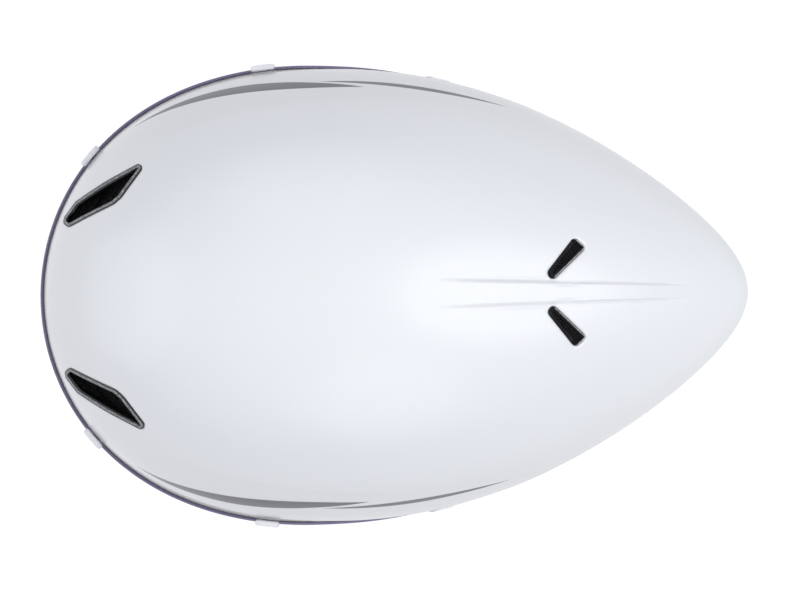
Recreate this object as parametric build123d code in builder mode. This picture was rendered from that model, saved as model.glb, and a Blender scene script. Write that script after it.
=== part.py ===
# Aero time trial helmet: a long-tailed shell over a foam liner, with a wrap visor held
# by magnets, ear covers, a dial-tightened cradle and a chin strap with a buckle.
# Millimetres. The nose points to -X, the tail to +X, and the wearer's right is +Y.
# The helmet stands on z = 0, on its ear covers and rear lobes.
import math
import os

from build123d import *

os.makedirs("parts", exist_ok=True)

# Body form
widest_x = -28
widest_level = 90
nose_reach = 132.5
tail_reach = 190.6
half_width = 104
crown_height = 100
flank_depth = 170
nose_power = 2.4
taper_share, taper_power = 0.355, 2.2
drop_share, drop_power = 0.5, 1.5
nose_angles = range(12, 90, 12)
tail_angles = range(81, 0, -9)

# Shared fits
overrun = 10
bond_gap = 0.25
rest_gap = 0.3

# Shell and its lower edge, seen from the side
shell_wall = 2.5
brow_z = 92
temple_x, temple_z = -60, 90
side_z = 86
lobe_top_x, lobe_top_z = 35.5, 64
lobe_toe_x, lobe_heel_x = 23.5, 58
nape_x, nape_z = 84, 62
tail_edge_z = 74
side_bend, lobe_bend, toe_bend, nape_bend = 80, 6, 5, 14

# Spine rib on the tail
spine_front_x, spine_rear_x = 17, 132.6
spine_front_width, spine_rear_width = 11, 5.2
spine_rise = 0.8

# Front vents
vent_x, vent_y = -148.7, 33.5
vent_length, vent_width = 50.4, 11
vent_turn = 33
vent_shares = [(0, 0), (0.035, 0.178), (0.201, 0.399), (0.549, 0.271), (1, 0), (0.6, -0.705),
               (0.51, -0.752), (0.036, -0.346)]
vent_bend = 1.8
vent_rim = 1.6
vent_rim_rise = 0.5
vent_pocket_depth, vent_pocket_floor = 11, 112
vent_fit = 0.15
duct_radius = 4.5
duct_length = 45
duct_x, duct_y, duct_z = -131, 43.5, 129
duct_back, duct_in, duct_down = 0.92, 0.08, 0.38

# Rear vents
outlet_x, outlet_y = 74.8, 14.5
outlet_turn = 47
outlet_half_length = 10.2
outlet_inner_width, outlet_outer_width = 4.2, 7
outlet_bend = 1.9
outlet_ledge = 1.3
outlet_depth = 1
mesh_hole, mesh_pitch = 1.3, 2
mesh_columns, mesh_rows = 7, 2
outlet_duct_radius, outlet_duct_start, outlet_duct_length = 4, 145, 60
outlet_back, outlet_drop = 0.6, 0.8

# Head cavity in the liner
cavity_x, cavity_z = -32, 81
cavity_half_length, cavity_half_width, cavity_height = 102, 82, 82
liner_lift = 2.05
neck_front_x, neck_half_width, neck_top, neck_bend = 20, 62, 62, 20

# Ear covers
ear_inset, ear_wall = 12, 2.5
ear_front_x, ear_foot_x, ear_bend = -62, -45, 12
ear_shift = 0.8
ear_pad_front_x, ear_pad_rear_x, ear_pad_bottom, ear_pad_top = -50, 8, 46, 76
ear_pad_thickness, ear_pad_slope, ear_pad_bend = 3.6, 12, 6

# Tail underside cover
underside_wall = 1.5
underside_front_x = 90

# Rear skirts
skirt_gap, skirt_wall = 0.25, 1.5
skirt_front_x, skirt_rear_x = 38, 100
skirt_front_top, skirt_rear_top = 80, 76
skirt_bend = 4

# Visor
lens_gap, lens_wall = 0.5, 1.6
lens_brow_z, lens_temple_z = 100, 98
lens_edge_drop = 1
lens_rear_x, lens_rear_z = 34, 63.5
lens_toe_x, lens_toe_z = 22.5, 5
lens_foot_x, lens_foot_z = -30, 4
lens_cheek_x, lens_cheek_z = -110, 9
lens_chin_z = 14
nose_arch_half, nose_arch_top, nose_arch_bend = 22, 38, 16
nose_arch_rear_x = -100
lens_bend = 5
seal_gap, seal_rise, seal_inner, seal_outer = 0.1, 1.6, 0.3, 1.1
seal_rear_x = -38

# Magnet pods along the visor's top edge
front_pod_x, middle_pod_x, rear_pod_x = -136.7, -59.1, 21.7
pod_length, pod_drop, pod_top = 11, 4.5, 5.5
pod_face, pod_outer = 0.6, 3.4
pod_bend = 1.2
pod_fit = 0.15
pod_magnet_radius, pod_magnet_thickness = 2, 2
pod_magnet_rise = 2.9
shell_magnet_radius, shell_magnet_thickness, shell_magnet_bed = 3, 2, 1.6
magnet_fit = 0.1
tongue_inset, tongue_height, tongue_drop, tongue_edge_gap = 6, 5, 9, 0.4
tongue_magnet_inset, liner_magnet_inset, edge_magnet_radius = 3.4, 5.5, 2
notch_fit = 0.3

# Comfort pads
pad_gap, pad_thickness = 0.3, 5
pad_bend = 4
brow_pad_rear_x, brow_pad_bottom, brow_pad_top = -96, 96, 116
crown_pad_front_x, crown_pad_rear_x = -75, 20
crown_pad_width = 26
crown_side_y, crown_side_width = 43, 20
crown_pad_floor = 100
side_pad_front_x, side_pad_rear_x, side_pad_bottom, side_pad_top = -66, 6, 106, 122

# Cradle
pivot_x, pivot_z, boss_face_y = -86, 100, 59
arm_slope = 24
arm_inset, arm_wall = 3.2, 1.6
arm_length, arm_height = 122, 10
pivot_radius, pivot_fit = 2, 0.2
pivot_head_radius, pivot_head_height, pivot_length = 4, 1.2, 14
yoke_wall = 2
wing_start, wing_end, wing_height = 96, 142, 9
yoke_front_x, yoke_bottom, yoke_top = 38, 20, 48
yoke_bend = 5
dial_z = 34
hub_radius, hub_front_x, hub_rear_x = 15, 60.5, 67.6
hub_pocket_radius, hub_floor = 12.5, 1.8
cover_radius, cover_wall = 14.5, 1.3
yoke_pad_half_width, yoke_pad_height, yoke_pad_thickness = 17, 26, 4
spool_radius, spool_teeth, spool_tooth = 9, 16, 1.4
spool_play = 0.4
axle_radius, axle_fit = 2, 0.15
knob_radius, knob_length, knob_gap = 13, 9.5, 0.4
knob_grips, knob_grip_radius = 14, 1.6
knob_bend = 1.2
axle_head_radius, axle_head_height = 4, 0.8

# Strap anchors and webbing
web_width, web_thickness = 15, 1.2
front_anchor_x, front_anchor_y, front_anchor_z = -62, 86, 92.8
rear_anchor_x, rear_anchor_y, rear_anchor_z = 28.5, 70, 24
anchor_width, anchor_thickness, anchor_depth, anchor_flare = 18, 4, 8, 2.2
divider_x, divider_y, divider_z = -12, 71.8, 17
divider_width, divider_thickness, divider_height = 19, 4.2, 22
divider_bend = 1.5
web_gap = 0.15

# Divider levers
lever_width, lever_thickness, lever_length = 12, 2.4, 13
lever_pin_y, lever_pin_z, lever_pin_radius, lever_fit = 67.7, 24.5, 0.7, 0.15
lever_ear_radius = 1.2
ear_width, ear_play = 2, 0.3

# Chin strap and buckle
buckle_z, buckle_height = 5, 8
buckle_width, socket_length, plug_length = 24, 25, 13
buckle_split = 4
buckle_gap = 0.3
prong_height, prong_width, prong_length, guide_width = 4, 3.4, 16, 4
prong_spread = 6.5
prong_fit = 0.3
window_length = 8
buckle_bend = 1.6
slot_height, slot_depth, slot_fit = 2, 5, 0.4
chin_floor_z, chin_turn_y = 2.6, 61
chin_crest_y, chin_crest_z = 46, 30
chin_foot_y = 36
chin_bends = [2.5, 4, 5, 4]
keeper_y, keeper_width, keeper_wall = 29, 4, 1.4

front_end = widest_x - nose_reach - overrun
rear_end = widest_x + tail_reach + overrun
top_end = widest_level + crown_height + overrun
side_end = half_width + overrun
magnet_depth = shell_wall + bond_gap + shell_magnet_bed
yoke_inset = arm_inset + arm_wall + rest_gap
plug_near = buckle_split + buckle_gap
plug_far = plug_near + plug_length
socket_far = socket_length - buckle_split


def nose_curve(share):
    # Width and height of the nose, where share runs from 0 at the widest station to 1 at the tip
    return math.sqrt(1 - share ** nose_power)


def tail_width(share):
    return math.sqrt(1 - share * share) * (1 - taper_share * share ** taper_power)


def tail_height(share):
    return math.sqrt(1 - share * share) * (1 - drop_share * share ** drop_power)


def flank_y(x, z, grow):
    # Half width of the body form at station x and height z
    if x < widest_x:
        share = (widest_x - x) / (nose_reach + grow)
        wide, high = nose_curve(share), nose_curve(share)
    else:
        share = (x - widest_x) / (tail_reach + grow)
        wide, high = tail_width(share), tail_height(share)
    if z < widest_level:
        reach = (flank_depth + grow) * wide
    else:
        reach = (crown_height + grow) * high
    return (half_width + grow) * wide * math.sqrt(1 - ((z - widest_level) / reach) ** 2)


def edge_height(x):
    # The shell's lower edge between the widest station and the rear lobe
    run = (x - widest_x) / (lobe_top_x - widest_x)
    return side_z + run * (lobe_top_z - side_z)


def egg(grow):
    # The body form with every reach grown by the same length, lofted from tip to tip
    nose, tail = nose_reach + grow, tail_reach + grow
    rows = []
    for angle in nose_angles:
        share = math.cos(math.radians(angle))
        rows.append((widest_x - nose * share, nose_curve(share), nose_curve(share)))
    rows.append((widest_x, 1, 1))
    for angle in tail_angles:
        share = math.cos(math.radians(angle))
        rows.append((widest_x + tail * share, tail_width(share), tail_height(share)))
    with BuildPart() as body:
        for x, wide, high in rows:
            side = (half_width + grow) * wide
            with BuildSketch(Plane.YZ.offset(x)):
                with BuildLine():
                    EllipticalCenterArc((0, widest_level), side, (crown_height + grow) * high,
                                        start_angle=0, arc_size=180)
                    EllipticalCenterArc((0, widest_level), side, (flank_depth + grow) * wide,
                                        start_angle=180, arc_size=180)
                make_face()
        faces = list(body.pending_faces)
        body.pending_faces = []
        tips = Vertex(widest_x - nose, 0, widest_level), Vertex(widest_x + tail, 0, widest_level)
        loft(sections=[tips[0], *faces, tips[1]])
    return body.part


def skin(outer, inner):
    # The body form between two offsets from the shell's outer face
    with BuildPart() as layer:
        add(egg(outer))
        add(egg(inner), mode=Mode.SUBTRACT)
    return layer.part


def side_region(points, bends):
    # A prism across the whole width, from an outline seen from the side
    with BuildPart() as region:
        with BuildSketch(Plane.XZ):
            with BuildLine():
                FilletPolyline(*points, radius=bends, close=True)
            make_face()
        extrude(amount=side_end, both=True)
    return region.part


def above_edge(lift):
    # Everything above the shell's lower edge, with that edge raised by lift
    edge = [(front_end, brow_z), (temple_x, temple_z), (widest_x, side_z), (lobe_top_x, lobe_top_z),
            (lobe_toe_x, 0), (lobe_heel_x, 0), (nape_x, nape_z), (rear_end, tail_edge_z)]
    points = [(x, z + lift) for x, z in edge] + [(rear_end, top_end), (front_end, top_end)]
    return side_region(points, [0, side_bend, side_bend, lobe_bend, toe_bend, toe_bend, nape_bend, 0, 0, 0])


def head_form(grow):
    # Half ellipsoid over an elliptical cylinder that runs down past the floor
    length, width, height = cavity_half_length + grow, cavity_half_width + grow, cavity_height + grow
    with BuildPart() as form:
        with BuildSketch(Plane.XZ):
            with Locations((cavity_x, cavity_z)):
                Ellipse(length, height)
            with Locations((cavity_x, cavity_z - height)):
                Rectangle(2 * length, 2 * height, mode=Mode.SUBTRACT)
        revolve(axis=Axis((cavity_x, 0, cavity_z), (1, 0, 0)))
        split(bisect_by=Plane.XY.offset(cavity_z), keep=Keep.TOP)
        with BuildSketch(Plane.XY.offset(cavity_z)):
            with Locations((cavity_x, 0)):
                Ellipse(length, width)
        extrude(amount=-cavity_z - overrun)
    return form.part


def head_layer(outer, inner):
    # A layer that follows the head cavity, between two insets from its wall
    with BuildPart() as layer:
        add(head_form(-outer))
        add(head_form(-inner), mode=Mode.SUBTRACT)
    return layer.part


def save(part, name):
    part.label = name
    export_step(part, f"parts/{name}.step")
    print(name, len(part.solids()), round(part.volume))


def save_pair(part, name):
    # The right piece as built, and its mirror image on the left
    save(part, name + "_right")
    save(mirror(part, about=Plane.XZ), name + "_left")


def vent_prism(grow, bottom):
    # The right front vent's outline, grown all round, as an upright prism
    frame = Plane((vent_x, vent_y, bottom), x_dir=Vector(1, 0, 0).rotate(Axis.Z, vent_turn))
    points = [(run * vent_length, side * vent_width) for run, side in vent_shares]
    with BuildPart() as prism:
        with BuildSketch(frame):
            with BuildLine():
                FilletPolyline(*points, radius=vent_bend, close=True)
            make_face()
            if grow:
                offset(amount=grow, mode=Mode.REPLACE)
        extrude(amount=top_end)
    return prism.part


def outlet_prism(grow, bottom):
    # The right rear vent's slot, which widens outwards, grown all round, as an upright prism
    frame = Plane((outlet_x, outlet_y, bottom), x_dir=Vector(1, 0, 0).rotate(Axis.Z, outlet_turn))
    points = [(-outlet_half_length, -outlet_inner_width / 2), (outlet_half_length, -outlet_outer_width / 2),
              (outlet_half_length, outlet_outer_width / 2), (-outlet_half_length, outlet_inner_width / 2)]
    with BuildPart() as prism:
        with BuildSketch(frame):
            with BuildLine():
                FilletPolyline(*points, radius=outlet_bend, close=True)
            make_face()
            if grow:
                offset(amount=grow, mode=Mode.REPLACE)
        extrude(amount=top_end)
    return prism.part


def pod_plane(x, z, rise):
    # A plane on the right flank: its z axis points outwards and its y axis downwards
    step = bond_gap
    slope = (flank_y(x + step, z, 0) - flank_y(x - step, z, 0)) / (2 * step)
    return Plane((x, flank_y(x, z, 0), z), x_dir=(1, slope, rise), z_dir=(-slope, 1, 0))


edge_rise = (lobe_top_z - side_z) / (lobe_top_x - widest_x)
upper_pods = [pod_plane(front_pod_x, lens_brow_z, 0), pod_plane(middle_pod_x, lens_temple_z, 0)]
rear_pod = pod_plane(rear_pod_x, edge_height(rear_pod_x), edge_rise)
liner_magnet_plane = Plane(
    (rear_pod_x, rear_pod.origin.Y - liner_magnet_inset, edge_height(rear_pod_x) + liner_lift),
    z_dir=(-edge_rise, 0, 1))
tongue_magnet_plane = Plane(rear_pod.from_local_coords(Vector(0, tongue_edge_gap, -tongue_magnet_inset)),
                            z_dir=-rear_pod.y_dir)
slope = math.radians(arm_slope)
arm_plane = Plane((pivot_x, 0, pivot_z), x_dir=(math.cos(slope), 0, -math.sin(slope)), z_dir=(0, -1, 0))


def right_half(part):
    # The half of a symmetric piece on the wearer's right
    with BuildPart() as half:
        add(part)
        split(bisect_by=Plane.XZ, keep=Keep.BOTTOM)
    return half.part


def above_visor(lift):
    # Everything above the visor's top edge, with that edge raised by lift
    edge = [(front_end, lens_brow_z), (temple_x, lens_temple_z), (widest_x, side_z - lens_edge_drop),
            (lens_rear_x, lens_rear_z), (rear_end, lens_rear_z)]
    points = [(x, z + lift) for x, z in edge] + [(rear_end, top_end), (front_end, top_end)]
    return side_region(points, [0, side_bend, side_bend, lens_bend, 0, 0, 0])


def mirror_plane(plane):
    # The same plane on the wearer's left, still facing outwards
    flip = Vector(1, -1, 1)
    origin, across, out = [Vector(v.X * flip.X, v.Y * flip.Y, v.Z * flip.Z)
                           for v in (plane.origin, plane.x_dir, plane.z_dir)]
    return Plane(origin, x_dir=across, z_dir=out)


def upper_pod(plane):
    # One pod that hooks over the visor's top edge, with a blind pocket for its magnet
    height = pod_drop + pod_top
    with BuildPart() as pod:
        with BuildSketch(plane.offset(pod_face)):
            with Locations((0, (pod_drop - pod_top) / 2)):
                RectangleRounded(pod_length, height, pod_bend)
        extrude(amount=pod_outer - pod_face)
        chamfer(pod.faces().sort_by(Axis(plane.origin, plane.z_dir))[-1].edges(), pod_bend / 2)
        with BuildSketch(plane.offset(pod_face)):
            with Locations((0, -pod_magnet_rise)):
                Circle(pod_magnet_radius + magnet_fit)
        extrude(amount=pod_magnet_thickness + magnet_fit, mode=Mode.SUBTRACT)
        add(visor_room, mode=Mode.SUBTRACT)
    return pod.part


def both_sides(part):
    # A piece on the right and its mirror image, as one group of separate solids
    with BuildPart() as pair:
        add(part)
        mirror(about=Plane.XZ)
    return pair.part


# Spine rib, as a tapered bar that stands on the tail
with BuildPart() as spine_rib:
    with BuildSketch(Plane.XY.offset(widest_level)):
        with BuildLine():
            Polyline((spine_front_x, -spine_front_width / 2), (spine_rear_x, -spine_rear_width / 2),
                     (spine_rear_x, spine_rear_width / 2), (spine_front_x, spine_front_width / 2), close=True)
        make_face()
    extrude(amount=top_end)
    add(skin(spine_rise, -shell_wall / 2), mode=Mode.INTERSECT)

# Outer shell
with BuildPart() as outer_shell:
    add(skin(0, -shell_wall))
    add(above_edge(0), mode=Mode.INTERSECT)
    add(spine_rib.part)
    for hole in (vent_prism(vent_fit, widest_level), outlet_prism(0, widest_level)):
        add(hole, mode=Mode.SUBTRACT)
        add(mirror(hole, about=Plane.XZ, mode=Mode.PRIVATE), mode=Mode.SUBTRACT)
save(outer_shell.part, "outer_shell")

# Everything that is cut from the right side of the liner
with BuildPart() as right_cuts:
    add(vent_prism(-vent_rim, vent_pocket_floor))
    add(egg(-vent_pocket_depth), mode=Mode.SUBTRACT)
    with BuildSketch(Plane((duct_x, duct_y, duct_z), z_dir=(duct_back, -duct_in, -duct_down))):
        Circle(duct_radius)
    extrude(amount=duct_length)
    add(outlet_prism(-outlet_ledge, outlet_duct_start))
    with BuildSketch(Plane((outlet_x, outlet_y, outlet_duct_start), z_dir=(-outlet_back, 0, -outlet_drop))):
        Circle(outlet_duct_radius)
    extrude(amount=outlet_duct_length)
    for plane in upper_pods:
        with BuildSketch(plane.offset(-magnet_depth - shell_magnet_thickness - magnet_fit)):
            with Locations((0, -pod_magnet_rise)):
                Circle(shell_magnet_radius + magnet_fit)
        extrude(amount=overrun)
    with BuildSketch(liner_magnet_plane):
        Circle(edge_magnet_radius + magnet_fit)
    extrude(amount=pod_magnet_thickness + magnet_fit)
    with BuildSketch(Plane((pivot_x, boss_face_y, pivot_z), z_dir=(0, 1, 0))):
        Circle(pivot_radius + magnet_fit)
    extrude(amount=pivot_length)
    with Locations((front_anchor_x, front_anchor_y, front_anchor_z - anchor_depth)):
        Box(anchor_width + 2 * anchor_flare, anchor_thickness + 2 * bond_gap, 2 * anchor_depth + bond_gap,
            align=(Align.CENTER, Align.CENTER, Align.MIN))
    with Locations((rear_anchor_x - anchor_depth, rear_anchor_y, rear_anchor_z)):
        Box(2 * anchor_depth + bond_gap, anchor_thickness + 2 * bond_gap, anchor_width + 2 * bond_gap,
            align=(Align.MIN, Align.CENTER, Align.CENTER))

# Foam liner with the head cavity and the neck opening
with BuildPart() as eps_liner:
    add(egg(-shell_wall - bond_gap))
    add(above_edge(liner_lift), mode=Mode.INTERSECT)
    add(head_form(0), mode=Mode.SUBTRACT)
    with BuildSketch(Plane.YZ.offset(neck_front_x)):
        with Locations((0, 0)):
            RectangleRounded(2 * neck_half_width, 2 * neck_top, neck_bend)
    extrude(amount=nape_x, mode=Mode.SUBTRACT)
    add(right_cuts.part, mode=Mode.SUBTRACT)
    add(mirror(right_cuts.part, about=Plane.XZ, mode=Mode.PRIVATE), mode=Mode.SUBTRACT)
save(eps_liner.part, "eps_liner")

# Front vent bezels, each a rim that lines its opening and stands on the foam
with BuildPart() as vent_bezel:
    add(vent_prism(0, widest_level))
    add(vent_prism(-vent_rim, widest_level), mode=Mode.SUBTRACT)
    add(skin(vent_rim_rise, -shell_wall), mode=Mode.INTERSECT)
save_pair(vent_bezel.part, "front_vent_bezel")

# Rear vent meshes, each a curved plate on a ledge of foam, with rows of round holes
with BuildPart() as vent_mesh:
    add(outlet_prism(-vent_fit, widest_level))
    add(skin(-outlet_depth, -shell_wall), mode=Mode.INTERSECT)
    with BuildSketch(Plane((outlet_x, outlet_y, widest_level),
                           x_dir=Vector(1, 0, 0).rotate(Axis.Z, outlet_turn))):
        with GridLocations(mesh_pitch, mesh_pitch, mesh_columns, mesh_rows):
            Circle(mesh_hole / 2)
    extrude(amount=top_end, mode=Mode.SUBTRACT)
save_pair(vent_mesh.part, "rear_vent_mesh")

# Cover that closes the foam on the underside of the tail
with BuildPart() as underside:
    add(egg(-shell_wall - bond_gap))
    add(above_edge(liner_lift - bond_gap - underside_wall), mode=Mode.INTERSECT)
    add(above_edge(liner_lift - bond_gap), mode=Mode.SUBTRACT)
    split(bisect_by=Plane.YZ.offset(underside_front_x), keep=Keep.TOP)
save(underside.part, "tail_underside_cover")

# Rear skirts, each a second skin over the flank above its rear lobe
with BuildPart() as skirt:
    add(skin(skirt_gap + skirt_wall, skirt_gap))
    add(above_edge(0), mode=Mode.INTERSECT)
    add(side_region([(skirt_front_x, skirt_front_top), (skirt_rear_x, skirt_rear_top),
                     (skirt_rear_x, 0), (skirt_front_x, 0)], skirt_bend), mode=Mode.INTERSECT)
save_pair(right_half(skirt.part), "rear_skirt")

# Ear covers, each seated under the liner's lower edge
with BuildPart() as ear_cover:
    add(skin(-ear_inset, -ear_inset - ear_wall))
    add(side_region([(ear_front_x, top_end), (ear_front_x, side_z), (ear_foot_x, 0), (lobe_top_x, 0),
                     (lobe_top_x, top_end)], [0, ear_bend, ear_bend, 0, 0]), mode=Mode.INTERSECT)
    for shift in (0, -ear_shift):
        add(above_edge(liner_lift - bond_gap).moved(Location((shift, 0, 0))), mode=Mode.SUBTRACT)
save_pair(right_half(ear_cover.part), "ear_cover")

# Ear pads on the inside of the ear covers
with BuildPart() as ear_pad:
    add(skin(-ear_inset - ear_wall - pad_gap, -ear_inset - ear_wall - pad_gap - ear_pad_thickness))
    add(side_region([(ear_pad_front_x, ear_pad_bottom), (ear_pad_rear_x, ear_pad_bottom),
                     (ear_pad_rear_x, ear_pad_top - ear_pad_slope), (ear_pad_front_x, ear_pad_top)],
                    ear_pad_bend), mode=Mode.INTERSECT)
save_pair(right_half(ear_pad.part), "ear_pad")

# Visor lens, one wrap round the nose with an arch over the wearer's nose
with BuildPart() as visor_blank:
    add(side_region([(front_end, top_end), (lens_rear_x, top_end), (lens_rear_x, lens_rear_z),
                     (lens_toe_x, lens_toe_z), (lens_foot_x, lens_foot_z), (lens_cheek_x, lens_cheek_z),
                     (front_end, lens_chin_z)],
                    [0, 0, lens_bend, lens_bend, lens_bend, lens_bend, 0]))
with BuildPart() as visor_lens:
    add(skin(lens_gap + lens_wall, lens_gap))
    add(visor_blank.part, mode=Mode.INTERSECT)
    add(above_visor(0), mode=Mode.SUBTRACT)
    with BuildSketch(Plane.YZ.offset(nose_arch_rear_x)):
        RectangleRounded(2 * nose_arch_half, 2 * nose_arch_top, nose_arch_bend)
    extrude(amount=-nose_reach, mode=Mode.SUBTRACT)
    for plane in (rear_pod, mirror_plane(rear_pod)):
        with BuildSketch(plane.offset(-lens_wall)):
            Rectangle(pod_length + 2 * notch_fit, 2 * (tongue_edge_gap + tongue_height + notch_fit))
        extrude(amount=2 * pod_outer, mode=Mode.SUBTRACT)
save(visor_lens.part, "visor_lens")

# The room for the lens and the shell behind it, which the pods leave free
with BuildPart() as visor_room_form:
    add(skin(lens_gap + lens_wall + pod_fit, -shell_wall))
    add(above_visor(pod_fit), mode=Mode.SUBTRACT)
visor_room = visor_room_form.part

# Front and middle pods over the lens's top edge
save(both_sides(upper_pod(upper_pods[0])), "visor_pods_front")
save(both_sides(upper_pod(upper_pods[1])), "visor_pods_middle")

# Rear pods, each with a tongue that reaches under the shell's edge
with BuildPart() as pod_rear:
    with BuildSketch(rear_pod.offset(lens_gap + lens_wall + pod_fit)):
        with Locations((0, (tongue_edge_gap + tongue_drop) / 2)):
            RectangleRounded(pod_length, tongue_drop - tongue_edge_gap, pod_bend)
    extrude(amount=pod_outer - lens_gap - lens_wall - pod_fit)
    chamfer(pod_rear.faces().sort_by(Axis(rear_pod.origin, rear_pod.z_dir))[-1].edges(), pod_bend / 2)
    with BuildSketch(rear_pod.offset(-tongue_inset)):
        with Locations((0, tongue_edge_gap + tongue_height / 2)):
            RectangleRounded(pod_length, tongue_height, pod_bend)
    extrude(amount=tongue_inset + lens_gap + lens_wall + 2 * pod_fit)
    with BuildSketch(tongue_magnet_plane):
        Circle(pod_magnet_radius + magnet_fit)
    extrude(amount=-pod_magnet_thickness - magnet_fit, mode=Mode.SUBTRACT)
save(both_sides(pod_rear.part), "visor_pods_rear")

# The magnets in the pods
with BuildPart() as pod_magnet_discs:
    for plane in upper_pods:
        with BuildSketch(plane.offset(pod_face)):
            with Locations((0, -pod_magnet_rise)):
                Circle(pod_magnet_radius)
        extrude(amount=pod_magnet_thickness)
    with BuildSketch(tongue_magnet_plane):
        Circle(pod_magnet_radius)
    extrude(amount=-pod_magnet_thickness)
save(both_sides(pod_magnet_discs.part), "visor_magnets")

# The magnets in the liner that hold the pods
with BuildPart() as liner_magnet_discs:
    for plane in upper_pods:
        with BuildSketch(plane.offset(-magnet_depth)):
            with Locations((0, -pod_magnet_rise)):
                Circle(shell_magnet_radius)
        extrude(amount=-shell_magnet_thickness)
    with BuildSketch(liner_magnet_plane):
        Circle(edge_magnet_radius)
    extrude(amount=pod_magnet_thickness)
save(both_sides(liner_magnet_discs.part), "shell_magnets")

# Rubber seal along the lens's top edge, broken where the pods stand
with BuildPart() as visor_seal:
    add(skin(seal_outer, seal_inner))
    add(above_visor(seal_gap), mode=Mode.INTERSECT)
    add(above_visor(seal_gap + seal_rise), mode=Mode.SUBTRACT)
    split(bisect_by=Plane.YZ.offset(seal_rear_x), keep=Keep.BOTTOM)
    for plane in upper_pods:
        for side in (plane, mirror_plane(plane)):
            with BuildSketch(side.offset(-pod_outer)):
                Rectangle(pod_length + 2 * pod_fit, 2 * pod_length)
            extrude(amount=2 * pod_outer, mode=Mode.SUBTRACT)
save(visor_seal.part, "visor_seal")

# Comfort pads on the cavity's wall
pad_layer = head_layer(pad_gap, pad_gap + pad_thickness)
with BuildPart() as brow_pad:
    add(pad_layer)
    add(side_region([(front_end, brow_pad_bottom), (brow_pad_rear_x, brow_pad_bottom),
                     (brow_pad_rear_x, brow_pad_top), (front_end, brow_pad_top)],
                    [0, pad_bend, pad_bend, 0]), mode=Mode.INTERSECT)
save(brow_pad.part, "brow_pad")

with BuildPart() as side_pad:
    add(pad_layer)
    add(side_region([(side_pad_front_x, side_pad_bottom), (side_pad_rear_x, side_pad_bottom),
                     (side_pad_rear_x, side_pad_top), (side_pad_front_x, side_pad_top)], pad_bend),
        mode=Mode.INTERSECT)
save_pair(right_half(side_pad.part), "side_pad")

for name, middle_y, width in (("crown_pad_center", 0, crown_pad_width),
                              ("crown_pad_right", crown_side_y, crown_side_width),
                              ("crown_pad_left", -crown_side_y, crown_side_width)):
    with BuildPart() as crown_pad:
        with BuildSketch(Plane((crown_pad_front_x, middle_y, crown_pad_floor))):
            with Locations(((crown_pad_rear_x - crown_pad_front_x) / 2, 0)):
                RectangleRounded(crown_pad_rear_x - crown_pad_front_x, width, pad_bend)
        extrude(amount=top_end)
        add(head_form(-pad_gap), mode=Mode.INTERSECT)
        add(head_form(-pad_gap - pad_thickness), mode=Mode.SUBTRACT)
    save(crown_pad.part, name)

# Round boss at the front of each arm, flat on the side that faces the head
with BuildPart() as boss_form:
    with BuildSketch(Plane((pivot_x, boss_face_y, pivot_z), z_dir=(0, 1, 0))):
        Circle(arm_height / 2)
    extrude(amount=half_width)
    add(head_form(-arm_inset), mode=Mode.INTERSECT)

# Cradle arms, each a band that hangs from a pivot in the liner
with BuildPart() as fit_arm:
    add(head_layer(arm_inset, arm_inset + arm_wall))
    with BuildSketch(arm_plane):
        with Locations((arm_length / 2, 0)):
            SlotCenterToCenter(arm_length, arm_height)
    extrude(amount=side_end, both=True, mode=Mode.INTERSECT)
    add(boss_form.part)
    with Locations((pivot_x, half_width / 2, pivot_z)):
        Cylinder(pivot_radius + pivot_fit, half_width, rotation=(90, 0, 0), mode=Mode.SUBTRACT)
save_pair(right_half(fit_arm.part), "fit_arm")

# Pivot pins, each with a flat head on the arm's boss
with BuildPart() as pivot_pin:
    with BuildSketch(Plane((pivot_x, boss_face_y - rest_gap, pivot_z), z_dir=(0, -1, 0))):
        Circle(pivot_head_radius)
    extrude(amount=pivot_head_height)
    with BuildSketch(Plane((pivot_x, boss_face_y - rest_gap, pivot_z), z_dir=(0, 1, 0))):
        Circle(pivot_radius)
    extrude(amount=pivot_length)
save(both_sides(pivot_pin.part), "arm_pivot_pins")

# Yoke behind the head, with two wings inside the arms and a round hub for the dial
with BuildPart() as yoke_outline:
    with BuildSketch(arm_plane):
        with Locations(((wing_start + wing_end) / 2, 0)):
            SlotCenterToCenter(wing_end - wing_start, wing_height)
    extrude(amount=side_end, both=True)
    add(side_region([(yoke_front_x, yoke_bottom), (nape_x, yoke_bottom), (nape_x, yoke_top),
                     (yoke_front_x, yoke_top)], [yoke_bend, 0, 0, yoke_bend]))
with BuildPart() as yoke_frame:
    add(head_layer(yoke_inset, yoke_inset + yoke_wall))
    add(yoke_outline.part, mode=Mode.INTERSECT)
    with BuildSketch(Plane.YZ.offset(hub_front_x)):
        with Locations((0, dial_z)):
            Circle(hub_radius)
    extrude(amount=hub_rear_x - hub_front_x)
    with BuildSketch(Plane.YZ.offset(hub_front_x)):
        with Locations((0, dial_z)):
            Circle(hub_pocket_radius)
    extrude(amount=hub_rear_x - hub_floor - hub_front_x, mode=Mode.SUBTRACT)
    with Locations((hub_rear_x, 0, dial_z)):
        Cylinder(axle_radius + axle_fit, overrun, rotation=(0, 90, 0), mode=Mode.SUBTRACT)
save(yoke_frame.part, "yoke_frame")

with BuildPart() as yoke_cover:
    with BuildSketch(Plane.YZ.offset(hub_front_x - rest_gap)):
        with Locations((0, dial_z)):
            Circle(cover_radius)
    extrude(amount=-cover_wall)
save(yoke_cover.part, "yoke_cover")

with BuildPart() as yoke_pad:
    with Locations((hub_front_x - 2 * rest_gap - cover_wall - yoke_pad_thickness / 2, 0, dial_z)):
        Box(yoke_pad_thickness, 2 * yoke_pad_half_width, yoke_pad_height)
    fillet(yoke_pad.edges().filter_by(Axis.X), pad_bend)
    fillet(yoke_pad.faces().sort_by(Axis.X)[0].edges(), yoke_pad_thickness / 3)
save(yoke_pad.part, "yoke_pad")

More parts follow.
